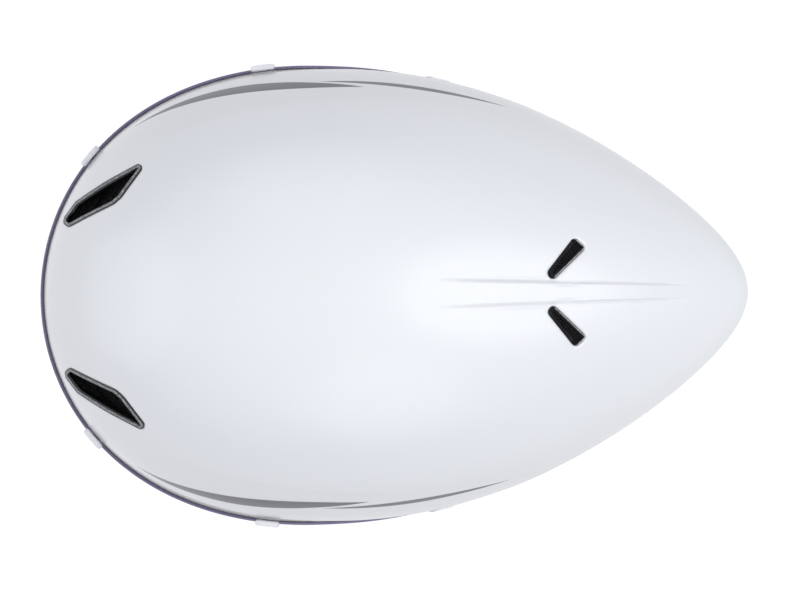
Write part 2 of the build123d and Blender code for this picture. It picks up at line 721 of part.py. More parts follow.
# Dial, axle and toothed spool, which turn together
with BuildPart() as dial_spool:
    with BuildSketch(Plane.YZ.offset(hub_front_x + spool_play)):
        with Locations((0, dial_z)):
            Circle(spool_radius)
            with PolarLocations(spool_radius, spool_teeth):
                Circle(spool_tooth)
            Circle(axle_radius + axle_fit / 2, mode=Mode.SUBTRACT)
    extrude(amount=hub_rear_x - hub_floor - hub_front_x - 2 * spool_play)
save(dial_spool.part, "dial_spool")

knob_front = hub_rear_x + knob_gap
with BuildPart() as dial_knob:
    with BuildSketch(Plane.YZ.offset(knob_front)):
        with Locations((0, dial_z)):
            Circle(knob_radius)
    extrude(amount=knob_length)
    chamfer(dial_knob.faces().sort_by(Axis.X)[-1].edges(), knob_bend)
    with BuildSketch(Plane.YZ.offset(knob_front)):
        with Locations((0, dial_z)):
            Circle(axle_radius + axle_fit / 2)
            with PolarLocations(knob_radius + knob_grip_radius / 2, knob_grips):
                Circle(knob_grip_radius)
    extrude(amount=2 * knob_length, mode=Mode.SUBTRACT)
save(dial_knob.part, "dial_knob")

with BuildPart() as dial_axle:
    with BuildSketch(Plane.YZ.offset(hub_front_x + spool_play)):
        with Locations((0, dial_z)):
            Circle(axle_radius)
    extrude(amount=knob_front + knob_length + axle_fit - hub_front_x - spool_play)
    with BuildSketch(Plane.YZ.offset(knob_front + knob_length + axle_fit)):
        with Locations((0, dial_z)):
            Circle(axle_head_radius)
    extrude(amount=axle_head_height)
save(dial_axle.part, "dial_axle")

# Strap anchors in the liner, two on each side
with BuildPart() as anchors:
    with Locations((front_anchor_x, front_anchor_y, front_anchor_z)):
        Box(anchor_width, anchor_thickness, anchor_depth, align=(Align.CENTER, Align.CENTER, Align.MIN))
    with Locations((rear_anchor_x, rear_anchor_y, rear_anchor_z)):
        Box(anchor_depth, anchor_thickness, anchor_width, align=(Align.MIN, Align.CENTER, Align.CENTER))
save(both_sides(anchors.part), "strap_anchors")

# Webbing from each anchor to the divider below the ear
divider_top = divider_z + divider_height / 2
with BuildPart() as strap_front:
    start = Vector(front_anchor_x, front_anchor_y, front_anchor_z - web_gap)
    run = Vector(divider_x, divider_y, divider_top + web_gap) - start
    with BuildSketch(Plane(start)):
        Rectangle(web_width * run.length / abs(run.Z), web_thickness)
    extrude(amount=run.length, dir=run)
save_pair(strap_front.part, "strap_front")

with BuildPart() as strap_rear:
    start = Vector(rear_anchor_x - web_gap, rear_anchor_y, rear_anchor_z)
    run = Vector(divider_x + divider_width / 2 + web_gap, divider_y, divider_z) - start
    with BuildSketch(Plane(start, x_dir=(0, 1, 0), z_dir=(-1, 0, 0))):
        Rectangle(web_thickness, web_width)
    extrude(amount=run.length, dir=run)
save_pair(strap_rear.part, "strap_rear")

# Dividers that join the two side straps to the chin strap
with BuildPart() as divider:
    with Locations((divider_x, divider_y, divider_z)):
        Box(divider_width, divider_thickness, divider_height)
    fillet(divider.edges().filter_by(Axis.Y), divider_bend)
    for step in (-1, 1):
        middle = divider_x + step * (lever_width / 2 + ear_play + ear_width / 2)
        with BuildSketch(Plane.YZ.offset(middle - ear_width / 2)):
            with Locations((lever_pin_y, lever_pin_z)):
                Circle(lever_ear_radius)
            with Locations(((lever_pin_y + divider_y) / 2, lever_pin_z)):
                Rectangle(divider_y - lever_pin_y, 2 * lever_ear_radius)
        extrude(amount=ear_width)
    with Locations((divider_x, lever_pin_y, lever_pin_z)):
        Cylinder(lever_pin_radius, divider_width, rotation=(0, 90, 0), mode=Mode.SUBTRACT)
save_pair(divider.part, "strap_divider")

# Pins through the dividers' ears, and the locking levers that turn on them
with BuildPart() as lever_pin:
    with Locations((divider_x, lever_pin_y, lever_pin_z)):
        Cylinder(lever_pin_radius, lever_width + 2 * ear_play + 2 * ear_width, rotation=(0, 90, 0))
save(both_sides(lever_pin.part), "divider_pins")

with BuildPart() as lever:
    with BuildSketch(Plane.YZ.offset(divider_x - lever_width / 2)):
        with Locations((lever_pin_y, lever_pin_z)):
            Circle(lever_thickness / 2)
        with Locations((lever_pin_y, lever_pin_z - lever_length / 2)):
            Rectangle(lever_thickness, lever_length)
        with Locations((lever_pin_y, lever_pin_z)):
            Circle(lever_pin_radius + lever_fit, mode=Mode.SUBTRACT)
    extrude(amount=lever_width)
    fillet(lever.faces().sort_by(Axis.Z)[0].edges().filter_by(Axis.Y), lever_thickness)
save_pair(lever.part, "divider_lever")

# Buckle socket on the wearer's left, with a mouth for the prongs and a window on each side
mouth_half = prong_spread + prong_width / 2 + prong_fit
with BuildPart() as buckle_socket:
    with Locations((divider_x, buckle_split, buckle_z)):
        Box(buckle_width, socket_length, buckle_height, align=(Align.CENTER, Align.MAX, Align.CENTER))
    fillet(buckle_socket.edges().filter_by(Axis.Y), buckle_bend)
    with Locations((divider_x, buckle_split, buckle_z)):
        Box(2 * mouth_half, 2 * (prong_length - buckle_gap + prong_fit), prong_height + 2 * prong_fit,
            mode=Mode.SUBTRACT)
    with Locations((divider_x, buckle_split - prong_length + window_length / 2 + prong_fit, buckle_z)):
        Box(2 * buckle_width, window_length, prong_height + 2 * prong_fit, mode=Mode.SUBTRACT)
    with Locations((divider_x, -socket_far, buckle_z)):
        Box(web_width + 2 * slot_fit, 2 * slot_depth, slot_height, mode=Mode.SUBTRACT)
save(buckle_socket.part, "buckle_socket")

# Buckle plug on the right, with a guide between two prongs
with BuildPart() as buckle_plug:
    with Locations((divider_x, plug_near, buckle_z)):
        Box(buckle_width, plug_length, buckle_height, align=(Align.CENTER, Align.MIN, Align.CENTER))
    fillet(buckle_plug.edges().filter_by(Axis.Y), buckle_bend)
    for across, width in ((-prong_spread, prong_width), (0, guide_width), (prong_spread, prong_width)):
        with Locations((divider_x + across, plug_near, buckle_z)):
            Box(width, prong_length, prong_height, align=(Align.CENTER, Align.MAX, Align.CENTER))
    with Locations((divider_x, plug_far, buckle_z)):
        Box(web_width + 2 * slot_fit, 2 * slot_depth, slot_height, mode=Mode.SUBTRACT)
save(buckle_plug.part, "buckle_plug")


def chin_strap(end_y):
    # The slack webbing from the right divider to a buckle half, folded up in one soft arch
    points = [(divider_y, divider_z - divider_height / 2 - web_gap), (divider_y, chin_floor_z),
              (chin_turn_y, chin_floor_z), (chin_crest_y, chin_crest_z), (chin_foot_y, buckle_z),
              (end_y, buckle_z)]
    with BuildPart() as strap:
        with BuildSketch(Plane.YZ.offset(divider_x - web_width / 2)):
            with BuildLine():
                FilletPolyline(*points, radius=chin_bends)
            trace(line_width=web_thickness)
        extrude(amount=web_width)
    return strap.part


save(chin_strap(plug_far - slot_depth + web_gap), "chin_strap_right")
save(mirror(chin_strap(socket_far - slot_depth + web_gap), about=Plane.XZ), "chin_strap_left")

# Rubber keeper round the left chin strap
with BuildPart() as keeper:
    with Locations((divider_x, -keeper_y, buckle_z)):
        Box(web_width + 2 * slot_fit + 2 * keeper_wall, keeper_width,
            web_thickness + 2 * slot_fit + 2 * keeper_wall)
        Box(web_width + 2 * slot_fit, keeper_width, web_thickness + 2 * slot_fit, mode=Mode.SUBTRACT)
    fillet(keeper.edges().filter_by(Axis.Y), keeper_wall / 3)
save(keeper.part, "strap_keeper")
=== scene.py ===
import math

import bmesh
import bpy
import numpy as np
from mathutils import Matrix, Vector


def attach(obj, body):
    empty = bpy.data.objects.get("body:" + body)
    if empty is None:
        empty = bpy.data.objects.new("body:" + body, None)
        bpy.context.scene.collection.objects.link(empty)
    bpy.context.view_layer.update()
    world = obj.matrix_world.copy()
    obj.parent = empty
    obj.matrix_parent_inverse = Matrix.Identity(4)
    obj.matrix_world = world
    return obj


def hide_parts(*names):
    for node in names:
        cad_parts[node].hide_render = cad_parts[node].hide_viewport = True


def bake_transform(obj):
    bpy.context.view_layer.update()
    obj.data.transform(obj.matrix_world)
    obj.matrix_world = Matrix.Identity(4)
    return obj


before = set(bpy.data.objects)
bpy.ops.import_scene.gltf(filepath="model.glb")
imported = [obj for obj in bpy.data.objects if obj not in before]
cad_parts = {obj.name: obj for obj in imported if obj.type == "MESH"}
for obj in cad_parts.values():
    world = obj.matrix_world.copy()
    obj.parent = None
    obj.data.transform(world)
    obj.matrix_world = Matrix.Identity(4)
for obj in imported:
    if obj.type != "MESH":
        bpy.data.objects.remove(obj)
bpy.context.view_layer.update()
print("frame loaded")

# Camera and lamps
camera = dict(lens=120, sensor=36, distance=1.2288, middle=(0.0023, -0.0026, 0.090), roll=-0.57, farthest=50)
lamps = dict(  # place, width of the disk and power of each
    softbox=((0.95, 0.0, 1.05), 1.0, 6.2),
    top=((0.15, 0.0, 1.45), 1.6, 1.2),
    front=((-1.5, 0.0, 0.62), 1.6, 6.8),
    sideRight=((-0.1, 1.4, 1.15), 1.4, 2.7),
    sideLeft=((0.4, -1.35, 1.2), 1.4, 4.9))
lampTarget = Vector((0, 0, 0.08))

cameraData = bpy.data.cameras.new("camera")
cameraData.lens, cameraData.sensor_width, cameraData.clip_end = camera["lens"], camera["sensor"], camera["farthest"]
cameraObject = bpy.data.objects.new("camera", cameraData)
bpy.context.collection.objects.link(cameraObject)
mx, my, mz = camera["middle"]
cameraObject.location = (mx, my, mz + camera["distance"])
cameraObject.rotation_euler = (0, 0, math.radians(camera["roll"]))
bpy.context.scene.camera = cameraObject

for name, (place, size, power) in lamps.items():
    lampData = bpy.data.lights.new(name, "AREA")
    lampData.shape, lampData.size, lampData.energy = "DISK", size, power
    lamp = bpy.data.objects.new(name, lampData)
    lamp.location = place
    lamp.rotation_euler = (lampTarget - lamp.location).to_track_quat("-Z", "Y").to_euler()
    bpy.context.collection.objects.link(lamp)


# Node helpers
def feed(tree, socket, value):
    # Wires an output to a socket, or sets the socket to a colour or a number
    if isinstance(value, bpy.types.NodeSocket):
        tree.links.new(value, socket)
    else:
        socket.default_value = (*value, 1) if isinstance(value, tuple) else value


def node(tree, kind, *values, **named):
    made = tree.nodes.new("ShaderNode" + kind)
    for socket, value in zip(made.inputs, values):
        feed(tree, socket, value)
    for key, value in named.items():
        feed(tree, made.inputs[key], value)
    return made


def mathNode(tree, operation, *values):
    made = node(tree, "Math")
    made.operation = operation
    for socket, value in zip(made.inputs, values):
        feed(tree, socket, value)
    return made.outputs[0]


def mixColour(tree, share, first, second):
    made = node(tree, "Mix")
    made.data_type = "RGBA"
    for index, value in ((0, share), (6, first), (7, second)):
        feed(tree, made.inputs[index], value)
    return made.outputs[2]


def ramp(tree, value, low, high):
    # A value that goes from 0 at low to 1 at high
    made = node(tree, "MapRange", value, low, high)
    made.clamp = True
    return made.outputs[0]


def newGroup(name, outs, **ins):
    # A node group with a Vector input. The other inputs are colours or numbers as their first values are.
    group = bpy.data.node_groups.new(name, "ShaderNodeTree")
    group.interface.new_socket("Vector", in_out="INPUT", socket_type="NodeSocketVector")
    for label, value in ins.items():
        kind = "Color" if isinstance(value, tuple) else "Float"
        feed(group, group.interface.new_socket(label, in_out="INPUT", socket_type="NodeSocket" + kind), value)
    for label in outs:
        kind = "Color" if label == "Colour" else "Float"
        group.interface.new_socket(label, in_out="OUTPUT", socket_type="NodeSocket" + kind)
    return group, group.nodes.new("NodeGroupInput").outputs, group.nodes.new("NodeGroupOutput").inputs


def closePattern(group, outs, share, first, second, height):
    # Ends a pattern group: its colour goes from first to second by share, and height is its relief
    feed(group, outs["Colour"], mixColour(group, share, first, second))
    feed(group, outs["Height"], height)
    return group


midGrey, darkGrey = (0.5, 0.5, 0.5), (0.05, 0.05, 0.05)


def makeGrain():
    # Fine moulded grain: height is noise, colour is base and deep mixed by that noise
    group, ins, outs = newGroup("grain", ("Colour", "Height"), Scale=900.0, Base=midGrey, Deep=darkGrey, Spread=0.5)
    fine = node(group, "TexNoise", Vector=ins["Vector"], Scale=ins["Scale"], Detail=4).outputs[0]
    share = mathNode(group, "MULTIPLY", ramp(group, fine, 0.35, 0.68), ins["Spread"])
    return closePattern(group, outs, share, ins["Base"], ins["Deep"], fine)


def makeWear():
    # Handling marks: slow noise for hazy patches, sparse small spots for dust
    group, ins, outs = newGroup("handling", ("Roughness", "Dust"), Low=0.1, High=0.2)
    haze = node(group, "TexNoise", Vector=ins["Vector"], Scale=22, Detail=3).outputs[0]
    spots = node(group, "TexVoronoi", Vector=ins["Vector"], Scale=240).outputs["Distance"]
    span = mathNode(group, "SUBTRACT", ins["High"], ins["Low"])
    rough = mathNode(group, "MULTIPLY_ADD", ramp(group, haze, 0.35, 0.7), span, ins["Low"])
    few, small = mathNode(group, "GREATER_THAN", haze, 0.6), mathNode(group, "LESS_THAN", spots, 0.12)
    feed(group, outs["Roughness"], rough)
    feed(group, outs["Dust"], mathNode(group, "MULTIPLY", few, small))
    return group


def makeBeads():
    # Moulded foam: round cells of slightly different tone, with thin dark seams between them
    group, ins, outs = newGroup("beads", ("Colour", "Height"), Scale=330.0, Base=midGrey, Seam=darkGrey)
    edge, cell = [node(group, "TexVoronoi", Vector=ins["Vector"], Scale=ins["Scale"]) for _ in range(2)]
    edge.feature = "DISTANCE_TO_EDGE"
    seam = ramp(group, edge.outputs["Distance"], 0.0, 0.12)
    tone = node(group, "SeparateColor", cell.outputs["Color"]).outputs[0]
    share = mathNode(group, "MULTIPLY", seam, mathNode(group, "MULTIPLY_ADD", tone, 0.3, 0.7))
    return closePattern(group, outs, share, ins["Seam"], ins["Base"], seam)


def makeWeave():
    # Twill webbing from the piece's own UV map in millimetres: slanted ridges that zigzag across the strap,
    # crossed by picks twice as fine
    group, ins, outs = newGroup("weave", ("Colour", "Height"), Pitch=1.1, Base=midGrey, Deep=darkGrey)
    across, along, _ = node(group, "SeparateXYZ", ins["Vector"]).outputs
    turn = mathNode(group, "DIVIDE", 2 * math.pi, ins["Pitch"])
    folded = mathNode(group, "ABSOLUTE", mathNode(group, "SUBTRACT", mathNode(group, "PINGPONG", across, 3.75), 1.9))
    slant = mathNode(group, "MULTIPLY", mathNode(group, "ADD", along, folded), turn)
    cross = mathNode(group, "MULTIPLY", along, mathNode(group, "MULTIPLY", turn, 2.0))
    ridge, pick = [mathNode(group, "MULTIPLY_ADD", mathNode(group, "SINE", q), 0.5, 0.5) for q in (slant, cross)]
    height = mathNode(group, "MULTIPLY_ADD", pick, 0.3, mathNode(group, "MULTIPLY", ridge, 0.7))
    return closePattern(group, outs, height, ins["Deep"], ins["Base"], height)


def makeKnit():
    # Brushed knit: small round loops with soft fuzz over them
    group, ins, outs = newGroup("knit", ("Colour", "Height"), Scale=1100.0, Base=midGrey, Deep=darkGrey)
    loops = node(group, "TexVoronoi", Vector=ins["Vector"], Scale=ins["Scale"], Randomness=0.35).outputs["Distance"]
    fuzz = node(group, "TexNoise", Vector=ins["Vector"], Scale=160, Detail=5).outputs[0]
    height = mathNode(group, "MULTIPLY_ADD", fuzz, 0.5, mathNode(group, "SUBTRACT", 1.0, loops))
    return closePattern(group, outs, ramp(group, height, 0.5, 1.3), ins["Deep"], ins["Base"], height)


grainGroup, wearGroup, beadGroup = makeGrain(), makeWear(), makeBeads()
weaveGroup, knitGroup = makeWeave(), makeKnit()


def material(name, rough=0.4, metal=0.0, coat=0.0, coatRough=0.05, ior=1.5, **more):
    made = bpy.data.materials.new(name)
    made.use_nodes = True
    tree, shader = made.node_tree, made.node_tree.nodes["Principled BSDF"]
    own = {"Roughness": rough, "Metallic": metal, "Coat Weight": coat, "Coat Roughness": coatRough, "IOR": ior}
    for key, value in {**own, **more}.items():
        shader.inputs[key].default_value = value
    return made, tree, shader, node(tree, "TexCoord").outputs["Object"]


def useGroup(tree, group, vector, **values):
    made = node(tree, "Group")
    made.node_tree = group
    for key, value in dict(values, Vector=vector).items():
        feed(tree, made.inputs[key], value)
    return made


def bumpFrom(tree, shader, height, strength, depth):
    bump = node(tree, "Bump", Strength=strength, Distance=depth, Height=height)
    feed(tree, shader.inputs["Normal"], bump.outputs[0])


def ownMap(tree):
    # The piece's own UV map, which is in millimetres
    made = node(tree, "UVMap")
    made.uv_map = "UVMap"
    return made.outputs[0]


def coverWith(tree, shader, pattern, strength, depth):
    # The colour and the relief of a pattern group
    feed(tree, shader.inputs["Base Color"], pattern.outputs["Colour"])
    bumpFrom(tree, shader, pattern.outputs["Height"], strength, depth)


def handle(tree, shader, place, low, high):
    # Uneven gloss, from roughness low to high. Returns the spots of dust.
    marks = useGroup(tree, wearGroup, place, Low=low, High=high)
    feed(tree, shader.inputs["Roughness"], marks.outputs["Roughness"])
    return marks.outputs["Dust"]


def grainy(name, base, deep, scale, strength, depth, rough, spread=0.5, metal=0.0):
    # A moulded finish: base colour with deeper specks, fine bump and uneven gloss
    made, tree, shader, place = material(name, rough, metal)
    grain = useGroup(tree, grainGroup, place, Scale=scale, Base=base, Deep=deep, Spread=spread)
    coverWith(tree, shader, grain, strength, depth)
    handle(tree, shader, place, rough * 0.85, min(1.0, rough * 1.25))
    return made


sides = ((1, "_right"), (-1, "_left"))  # the sign of y, and the end of the name


# Small maths
def unit(v):
    return v / np.maximum(np.linalg.norm(v, axis=-1, keepdims=True), 1e-12)


def smoothStep(v, low, high):
    # 0 up to low, 1 from high on, t t (3 - 2 t) between them
    t = np.clip((v - low) / (high - low), 0, 1)
    return t * t * (3 - 2 * t)


def hump(v, low, lowFull, highFull, high):
    # 0 below low and above high, 1 between the two full values, with smooth steps between
    return smoothStep(v, low, lowFull) * (1 - smoothStep(v, highFull, high))


def bent(v, power):
    # The size of v to a power, with the sign of v
    return np.sign(v) * np.abs(v) ** power


def vary(*spans):
    # Values with their own spacing on each span, joined end to end
    return np.concatenate([np.linspace(a, b, n, endpoint=False) for a, b, n in spans])


def runAlong(path):
    # The length along a line from its first point to each point
    return np.concatenate([[0], np.cumsum(np.linalg.norm(np.diff(path, axis=0), axis=1))])


def evenly(path, count, closed=False):
    # The same line as count points at even steps. A closed one leaves out its last point, which is its first.
    run = runAlong(path)
    even = np.linspace(0, run[-1], count, endpoint=not closed)
    return np.stack([np.interp(even, run, values) for values in path.T], -1)


def onRight(q):
    # Points folded over to the right side
    return np.stack([q[:, 0], np.abs(q[:, 1]), q[:, 2]], -1)


# The body form
form = dict(widestX=-0.028, level=0.090, nose=0.1325, tail=0.1906, half=0.104, crown=0.100, flank=0.170,
            nosePower=2.4, taper=(0.355, 2.2), drop=(0.5, 1.5))


def formShares(share, ahead, least=0.0):
    # Width and height of a section as shares of the widest one, at a share of the reach: in front both are
    # sqrt(1 - share^2.4), behind they are sqrt(1 - share^2) times 1 - 0.355 share^2.2 and 1 - 0.5 share^1.5.
    root = np.sqrt(np.maximum(least, 1 - share ** 2))
    nose = np.sqrt(np.maximum(least, 1 - share ** form["nosePower"]))
    return [np.where(ahead, nose, root * (1 - most * share ** power))
            for most, power in (form["taper"], form["drop"])]


def formPoint(a, p, grow=0.0):
    # Body form. a runs from 0 at the nose tip over pi/2 at the widest station to pi at the tail tip,
    # p is the angle round the section, 0 on the right side and pi/2 on the crown:
    # x = widest -/+ reach |cos a|, y = half width cos p, z = level + height sin p.
    share, ahead = np.abs(np.cos(a)), a < math.pi / 2
    wide, high = formShares(share, ahead)
    x = form["widestX"] + np.where(ahead, -(form["nose"] + grow), form["tail"] + grow) * share
    up = np.sin(p)
    z = form["level"] + np.where(up > 0, (form["crown"] + grow) * high, (form["flank"] + grow) * wide) * up
    return np.stack([x, (form["half"] + grow) * wide * np.cos(p), z], -1)


def formSpans(x, grow=0.0):
    # Half width, height above and depth below the widest level, of the section at station x
    ahead = x < form["widestX"]
    reach = np.where(ahead, form["nose"] + grow, form["tail"] + grow)
    wide, high = formShares(np.clip(np.abs(x - form["widestX"]) / reach, 0, 1), ahead, 1e-12)
    return (form["half"] + grow) * wide, (form["crown"] + grow) * high, (form["flank"] + grow) * wide


def flankY(x, z, grow=0.0):
    # Half width of the form at (x, z)
    wide, high, deep = formSpans(x, grow)
    reach = np.where(z > form["level"], high, deep)
    return wide * np.sqrt(np.maximum(0, 1 - ((z - form["level"]) / reach) ** 2))


def crownZ(x, y, grow=0.0):
    # Height of the form at (x, y), on its upper side
    wide, high, _ = formSpans(x, grow)
    return form["level"] + high * np.sqrt(np.maximum(0, 1 - (y / wide) ** 2))


def outline(points, radii, step=0.0012):
    # A closed outline with rounded corners: each corner is an arc of its radius that touches both sides
    points = [np.array(q, float) for q in points]
    radii = np.broadcast_to(radii, len(points))
    out = []
    for i, corner in enumerate(points):
        before, after = points[i - 1] - corner, points[(i + 1) % len(points)] - corner
        u, v = before / np.linalg.norm(before), after / np.linalg.norm(after)
        half = math.acos(max(-1.0, min(1.0, float(u @ v)))) / 2
        if radii[i] <= 0 or half > math.pi / 2 - 1e-3:
            out.append(corner[None])
            continue
        reach = radii[i] / math.tan(half)
        middle = corner + (u + v) / np.linalg.norm(u + v) * radii[i] / math.sin(half)
        start, end = corner + u * reach - middle, corner + v * reach - middle
        sweep = math.pi - 2 * half
        turns = np.linspace(0, 1, max(4, int(radii[i] * sweep / step) + 2))[:, None]
        out.append(middle + (np.sin((1 - turns) * sweep) * start + np.sin(turns * sweep) * end) / math.sin(sweep))
    return np.concatenate(out)


def inside(points, loop, batch=4000):
    # Signed distance from points to a closed outline, positive inside it, worked out a batch at a time
    ax, az = loop.T
    bx, bz = np.roll(ax, -1), np.roll(az, -1)
    dx, dz = bx - ax, bz - az
    out = np.empty(len(points))
    for first in range(0, len(points), batch):
        px, pz = points[first:first + batch, 0:1], points[first:first + batch, 1:2]
        t = np.clip(((px - ax) * dx + (pz - az) * dz) / np.maximum(dx * dx + dz * dz, 1e-18), 0, 1)
        gap = np.sqrt(((px - ax - t * dx) ** 2 + (pz - az - t * dz) ** 2).min(1))
        above = (az > pz) != (bz > pz)
        cross = above & (px < dx * (pz - az) / np.where(dz == 0, 1e-18, dz) + ax)
        out[first:first + batch] = np.where(cross.sum(1) % 2 == 1, gap, -gap)
    return out


# Mesh helpers
def makeObject(name, points, faces, uv=None):
    mesh = bpy.data.meshes.new(name)
    mesh.from_pydata(points, [], faces.tolist())
    mesh.polygons.foreach_set("use_smooth", np.ones(len(mesh.polygons), bool))
    if uv is not None:
        layer = mesh.uv_layers.new(name="UVMap")
        corner = np.empty(len(mesh.loops), np.int32)
        mesh.loops.foreach_get("vertex_index", corner)
        layer.data.foreach_set("uv", np.asarray(uv, np.float32)[corner].ravel())
    mesh.validate()
    made = bpy.data.objects.new(name, mesh)
    bpy.context.collection.objects.link(made)
    return made


def finishPiece(made, finish, body, slotName, *nodes):
    made.data.materials.clear()
    made.data.materials.append(finish)
    if body:
        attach(made, body)
    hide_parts(*nodes)


def flipped(points, faces, side):
    # A mesh as it is for side 1, or its mirror image on the left for side -1
    return points * np.array([1, side, 1]), faces if side > 0 else faces[:, ::-1]


def joined(blocks):
    # Several meshes, each of points and faces, as one
    points, faces = zip(*blocks)
    starts = np.cumsum([0] + [len(q) for q in points[:-1]])
    return np.concatenate(points), np.concatenate([q + start for q, start in zip(faces, starts)])


def gridFaces(rows, columns, closeRows=False, closeColumns=False):
    # Quads of a rows by columns grid, joined round where it closes
    r = np.arange(rows if closeRows else rows - 1)[:, None]
    c = np.arange(columns if closeColumns else columns - 1)[None, :]
    r2, c2 = (r + 1) % rows, (c + 1) % columns
    quads = np.stack([r * columns + c, r * columns + c2, r2 * columns + c2, r2 * columns + c], -1)
    return quads.reshape(-1, 4)


def splitQuads(quads):
    return np.concatenate([quads[:, [0, 1, 2]], quads[:, [0, 2, 3]]])


def capped(rows, columns):
    # Triangles of a closed tube of rings, with a last but one and a last point that close its two ends
    ring = np.arange(columns)
    after, last = (ring + 1) % columns, rows * columns
    start = np.stack([np.full(columns, last), after, ring], 1)
    end = np.stack([np.full(columns, last + 1), last - columns + ring, last - columns + after], 1)
    return np.concatenate([splitQuads(gridFaces(rows, columns, closeColumns=True)), start, end])


def clipMesh(values, faces, field, turns=False):
    # Keeps the side of a triangle mesh where field is positive. A triangle that the zero line crosses is cut
    # where the field, taken as straight along its sides, is zero.
    keep = field > 0
    count = keep[faces].sum(1)
    one, two = [np.take_along_axis(some, (np.arange(3)[None] + lone(keep[some], 1)[:, None]) % 3, 1)
                for some, lone in ((faces[count == 1], np.argmax), (faces[count == 2], np.argmin))]
    sides = np.concatenate([one[:, [0, 1]], one[:, [0, 2]], two[:, [0, 1]], two[:, [0, 2]]])
    keys, where = np.unique(np.sort(sides, 1), axis=0, return_inverse=True)
    a, b = keys.T
    t = (field[a] / (field[a] - field[b]))[:, None]
    first, second = values[a].copy(), values[b].copy()
    if turns:  # the second value is an angle: a side may cross its seam or end at a tip, where any angle holds
        tip = lambda q: (q[:, 0] <= 0) | (q[:, 0] >= math.pi)
        first[tip(first), 1] = second[tip(first), 1]
        second[tip(second), 1] = first[tip(second), 1]
        second[:, 1] -= 2 * math.pi * np.round((second[:, 1] - first[:, 1]) / (2 * math.pi))
    n, m = len(one), len(two)
    ab, ac, da, dc = np.split(where.ravel() + len(values), [n, 2 * n, 2 * n + m])
    made = np.concatenate([
        faces[count == 3],
        np.stack([one[:, 0], ab, ac], 1),
        np.stack([da, two[:, 1], two[:, 2]], 1),
        np.stack([da, two[:, 2], dc], 1)])
    points = np.concatenate([values, first * (1 - t) + second * t])
    used, packed = np.unique(made, return_inverse=True)
    return points[used], packed.reshape(-1, 3)


# How skins are cut and closed: only points within snapBand metres and snapShare cells of a cut are moved onto it,
# by snapMost cells at most. Points in one cell of weld metres are joined. A lip has lipSteps rows, and lipPower
# squares it.
skin = dict(snapBand=0.001, snapShare=0.3, snapMost=0.4, snapProbe=1e-4, weld=4e-5, lipSteps=4, lipPower=0.5,
            lipProbe=2e-5)


def leastStep(values):
    # The smaller of the two steps beside each value
    steps = np.diff(values)
    return np.minimum(np.append(steps[:1], steps), np.append(steps, steps[-1:]))


def snapToLine(values, placeOf, fieldOf, spacing):
    # Moves vertices that are near the zero line onto it, so that the cut leaves no slivers.
    # The step is -f g / |g|^2, with the slope g taken by small differences of both parameters.
    field = fieldOf(placeOf(values))
    near = np.abs(field) < skin["snapBand"]
    if not near.any():
        return values
    at, f = values[near], field[near]
    room, here = spacing(at), placeOf(at)
    slopes, lengths = [], []
    for k in range(2):
        moved = at.copy()
        moved[:, k] += skin["snapProbe"]
        there = placeOf(moved)
        lengths.append(np.maximum(np.linalg.norm(there - here, axis=1) / skin["snapProbe"], 1e-6))
        slopes.append((fieldOf(there) - f) / skin["snapProbe"])
    g = [s / l ** 2 for s, l in zip(slopes, lengths)]
    size = slopes[0] * g[0] + slopes[1] * g[1]
    step = np.where(size > 1e-9, f / np.maximum(size, 1e-9), 0)
    cell = np.minimum(lengths[0] * room[0], lengths[1] * room[1])
    step = np.where(np.abs(f) < skin["snapShare"] * cell, step, 0)
    out = values.copy()
    for k in range(2):
        most = skin["snapMost"] * room[k]
        out[near, k] = at[:, k] - np.clip(step * g[k], -most, most)
    return out


def formGrid(stations, angles):
    # Parameters and triangles of the whole form, closed at both tips
    a = np.append(np.repeat(stations, len(angles)), [0, math.pi])
    p = np.append(np.tile(angles, len(stations)), [math.pi / 2, math.pi / 2])
    return np.stack([a, p], 1), capped(len(stations), len(angles))


def lipHeading(points, cuts):
    # Where the lip of a cut wall points: against the slope of the least cut field
    least = lambda q: np.min([cut(q) for cut in cuts], 0)
    return np.stack([least(points - step) - least(points + step) for step in skin["lipProbe"] * np.eye(3)], -1)


def shellWalls(outer, inner, faces, steps=skin["lipSteps"], cuts=None):
    # A wall between two copies of one surface, with a round lip along every open side: a lip point is
    # middle + half thickness (cos^e t n + sin^e t b), where n points out of the wall, b away from it
    # and e squares the lip.
    middle, reach = (outer + inner) / 2, (outer - inner) / 2
    sides = np.concatenate([faces[:, [0, 1]], faces[:, [1, 2]], faces[:, [2, 0]]]).astype(np.int64)
    there, back = [sides[:, i] * len(outer) + sides[:, 1 - i] for i in (0, 1)]
    rim = sides[~np.isin(there, back)]
    on = np.unique(rim)
    if cuts:
        straight, heading = unit(reach[on]), lipHeading(outer[on], cuts)
        away = heading - straight * (heading * straight).sum(1, keepdims=True)
    else:
        along = np.zeros_like(outer)
        for end in (0, 1):
            np.add.at(along, rim[:, end], outer[rim[:, 1]] - outer[rim[:, 0]])
        away = np.cross(along[on], reach[on])
    away = unit(away) * np.linalg.norm(reach[on], axis=1, keepdims=True)
    rows, points, total = [on], [outer, inner], 2 * len(outer)
    for t in math.pi * np.arange(1, steps) / steps:
        out, beside = bent(math.cos(t), skin["lipPower"]), bent(math.sin(t), skin["lipPower"])
        points.append(middle[on] + reach[on] * out + away * beside)
        rows.append(np.arange(total, total + len(on)))
        total += len(on)
    rows.append(on + len(outer))
    slot = np.full(len(outer), -1)
    slot[on] = np.arange(len(on))
    i, j = slot[rim].T
    lips = [np.stack([rows[k][j], rows[k][i], rows[k + 1][i]], 1) for k in range(steps)]
    lips += [np.stack([rows[k][j], rows[k + 1][i], rows[k + 1][j]], 1) for k in range(steps)]
    return np.concatenate(points), np.concatenate([faces, faces[:, ::-1] + len(outer), *lips])


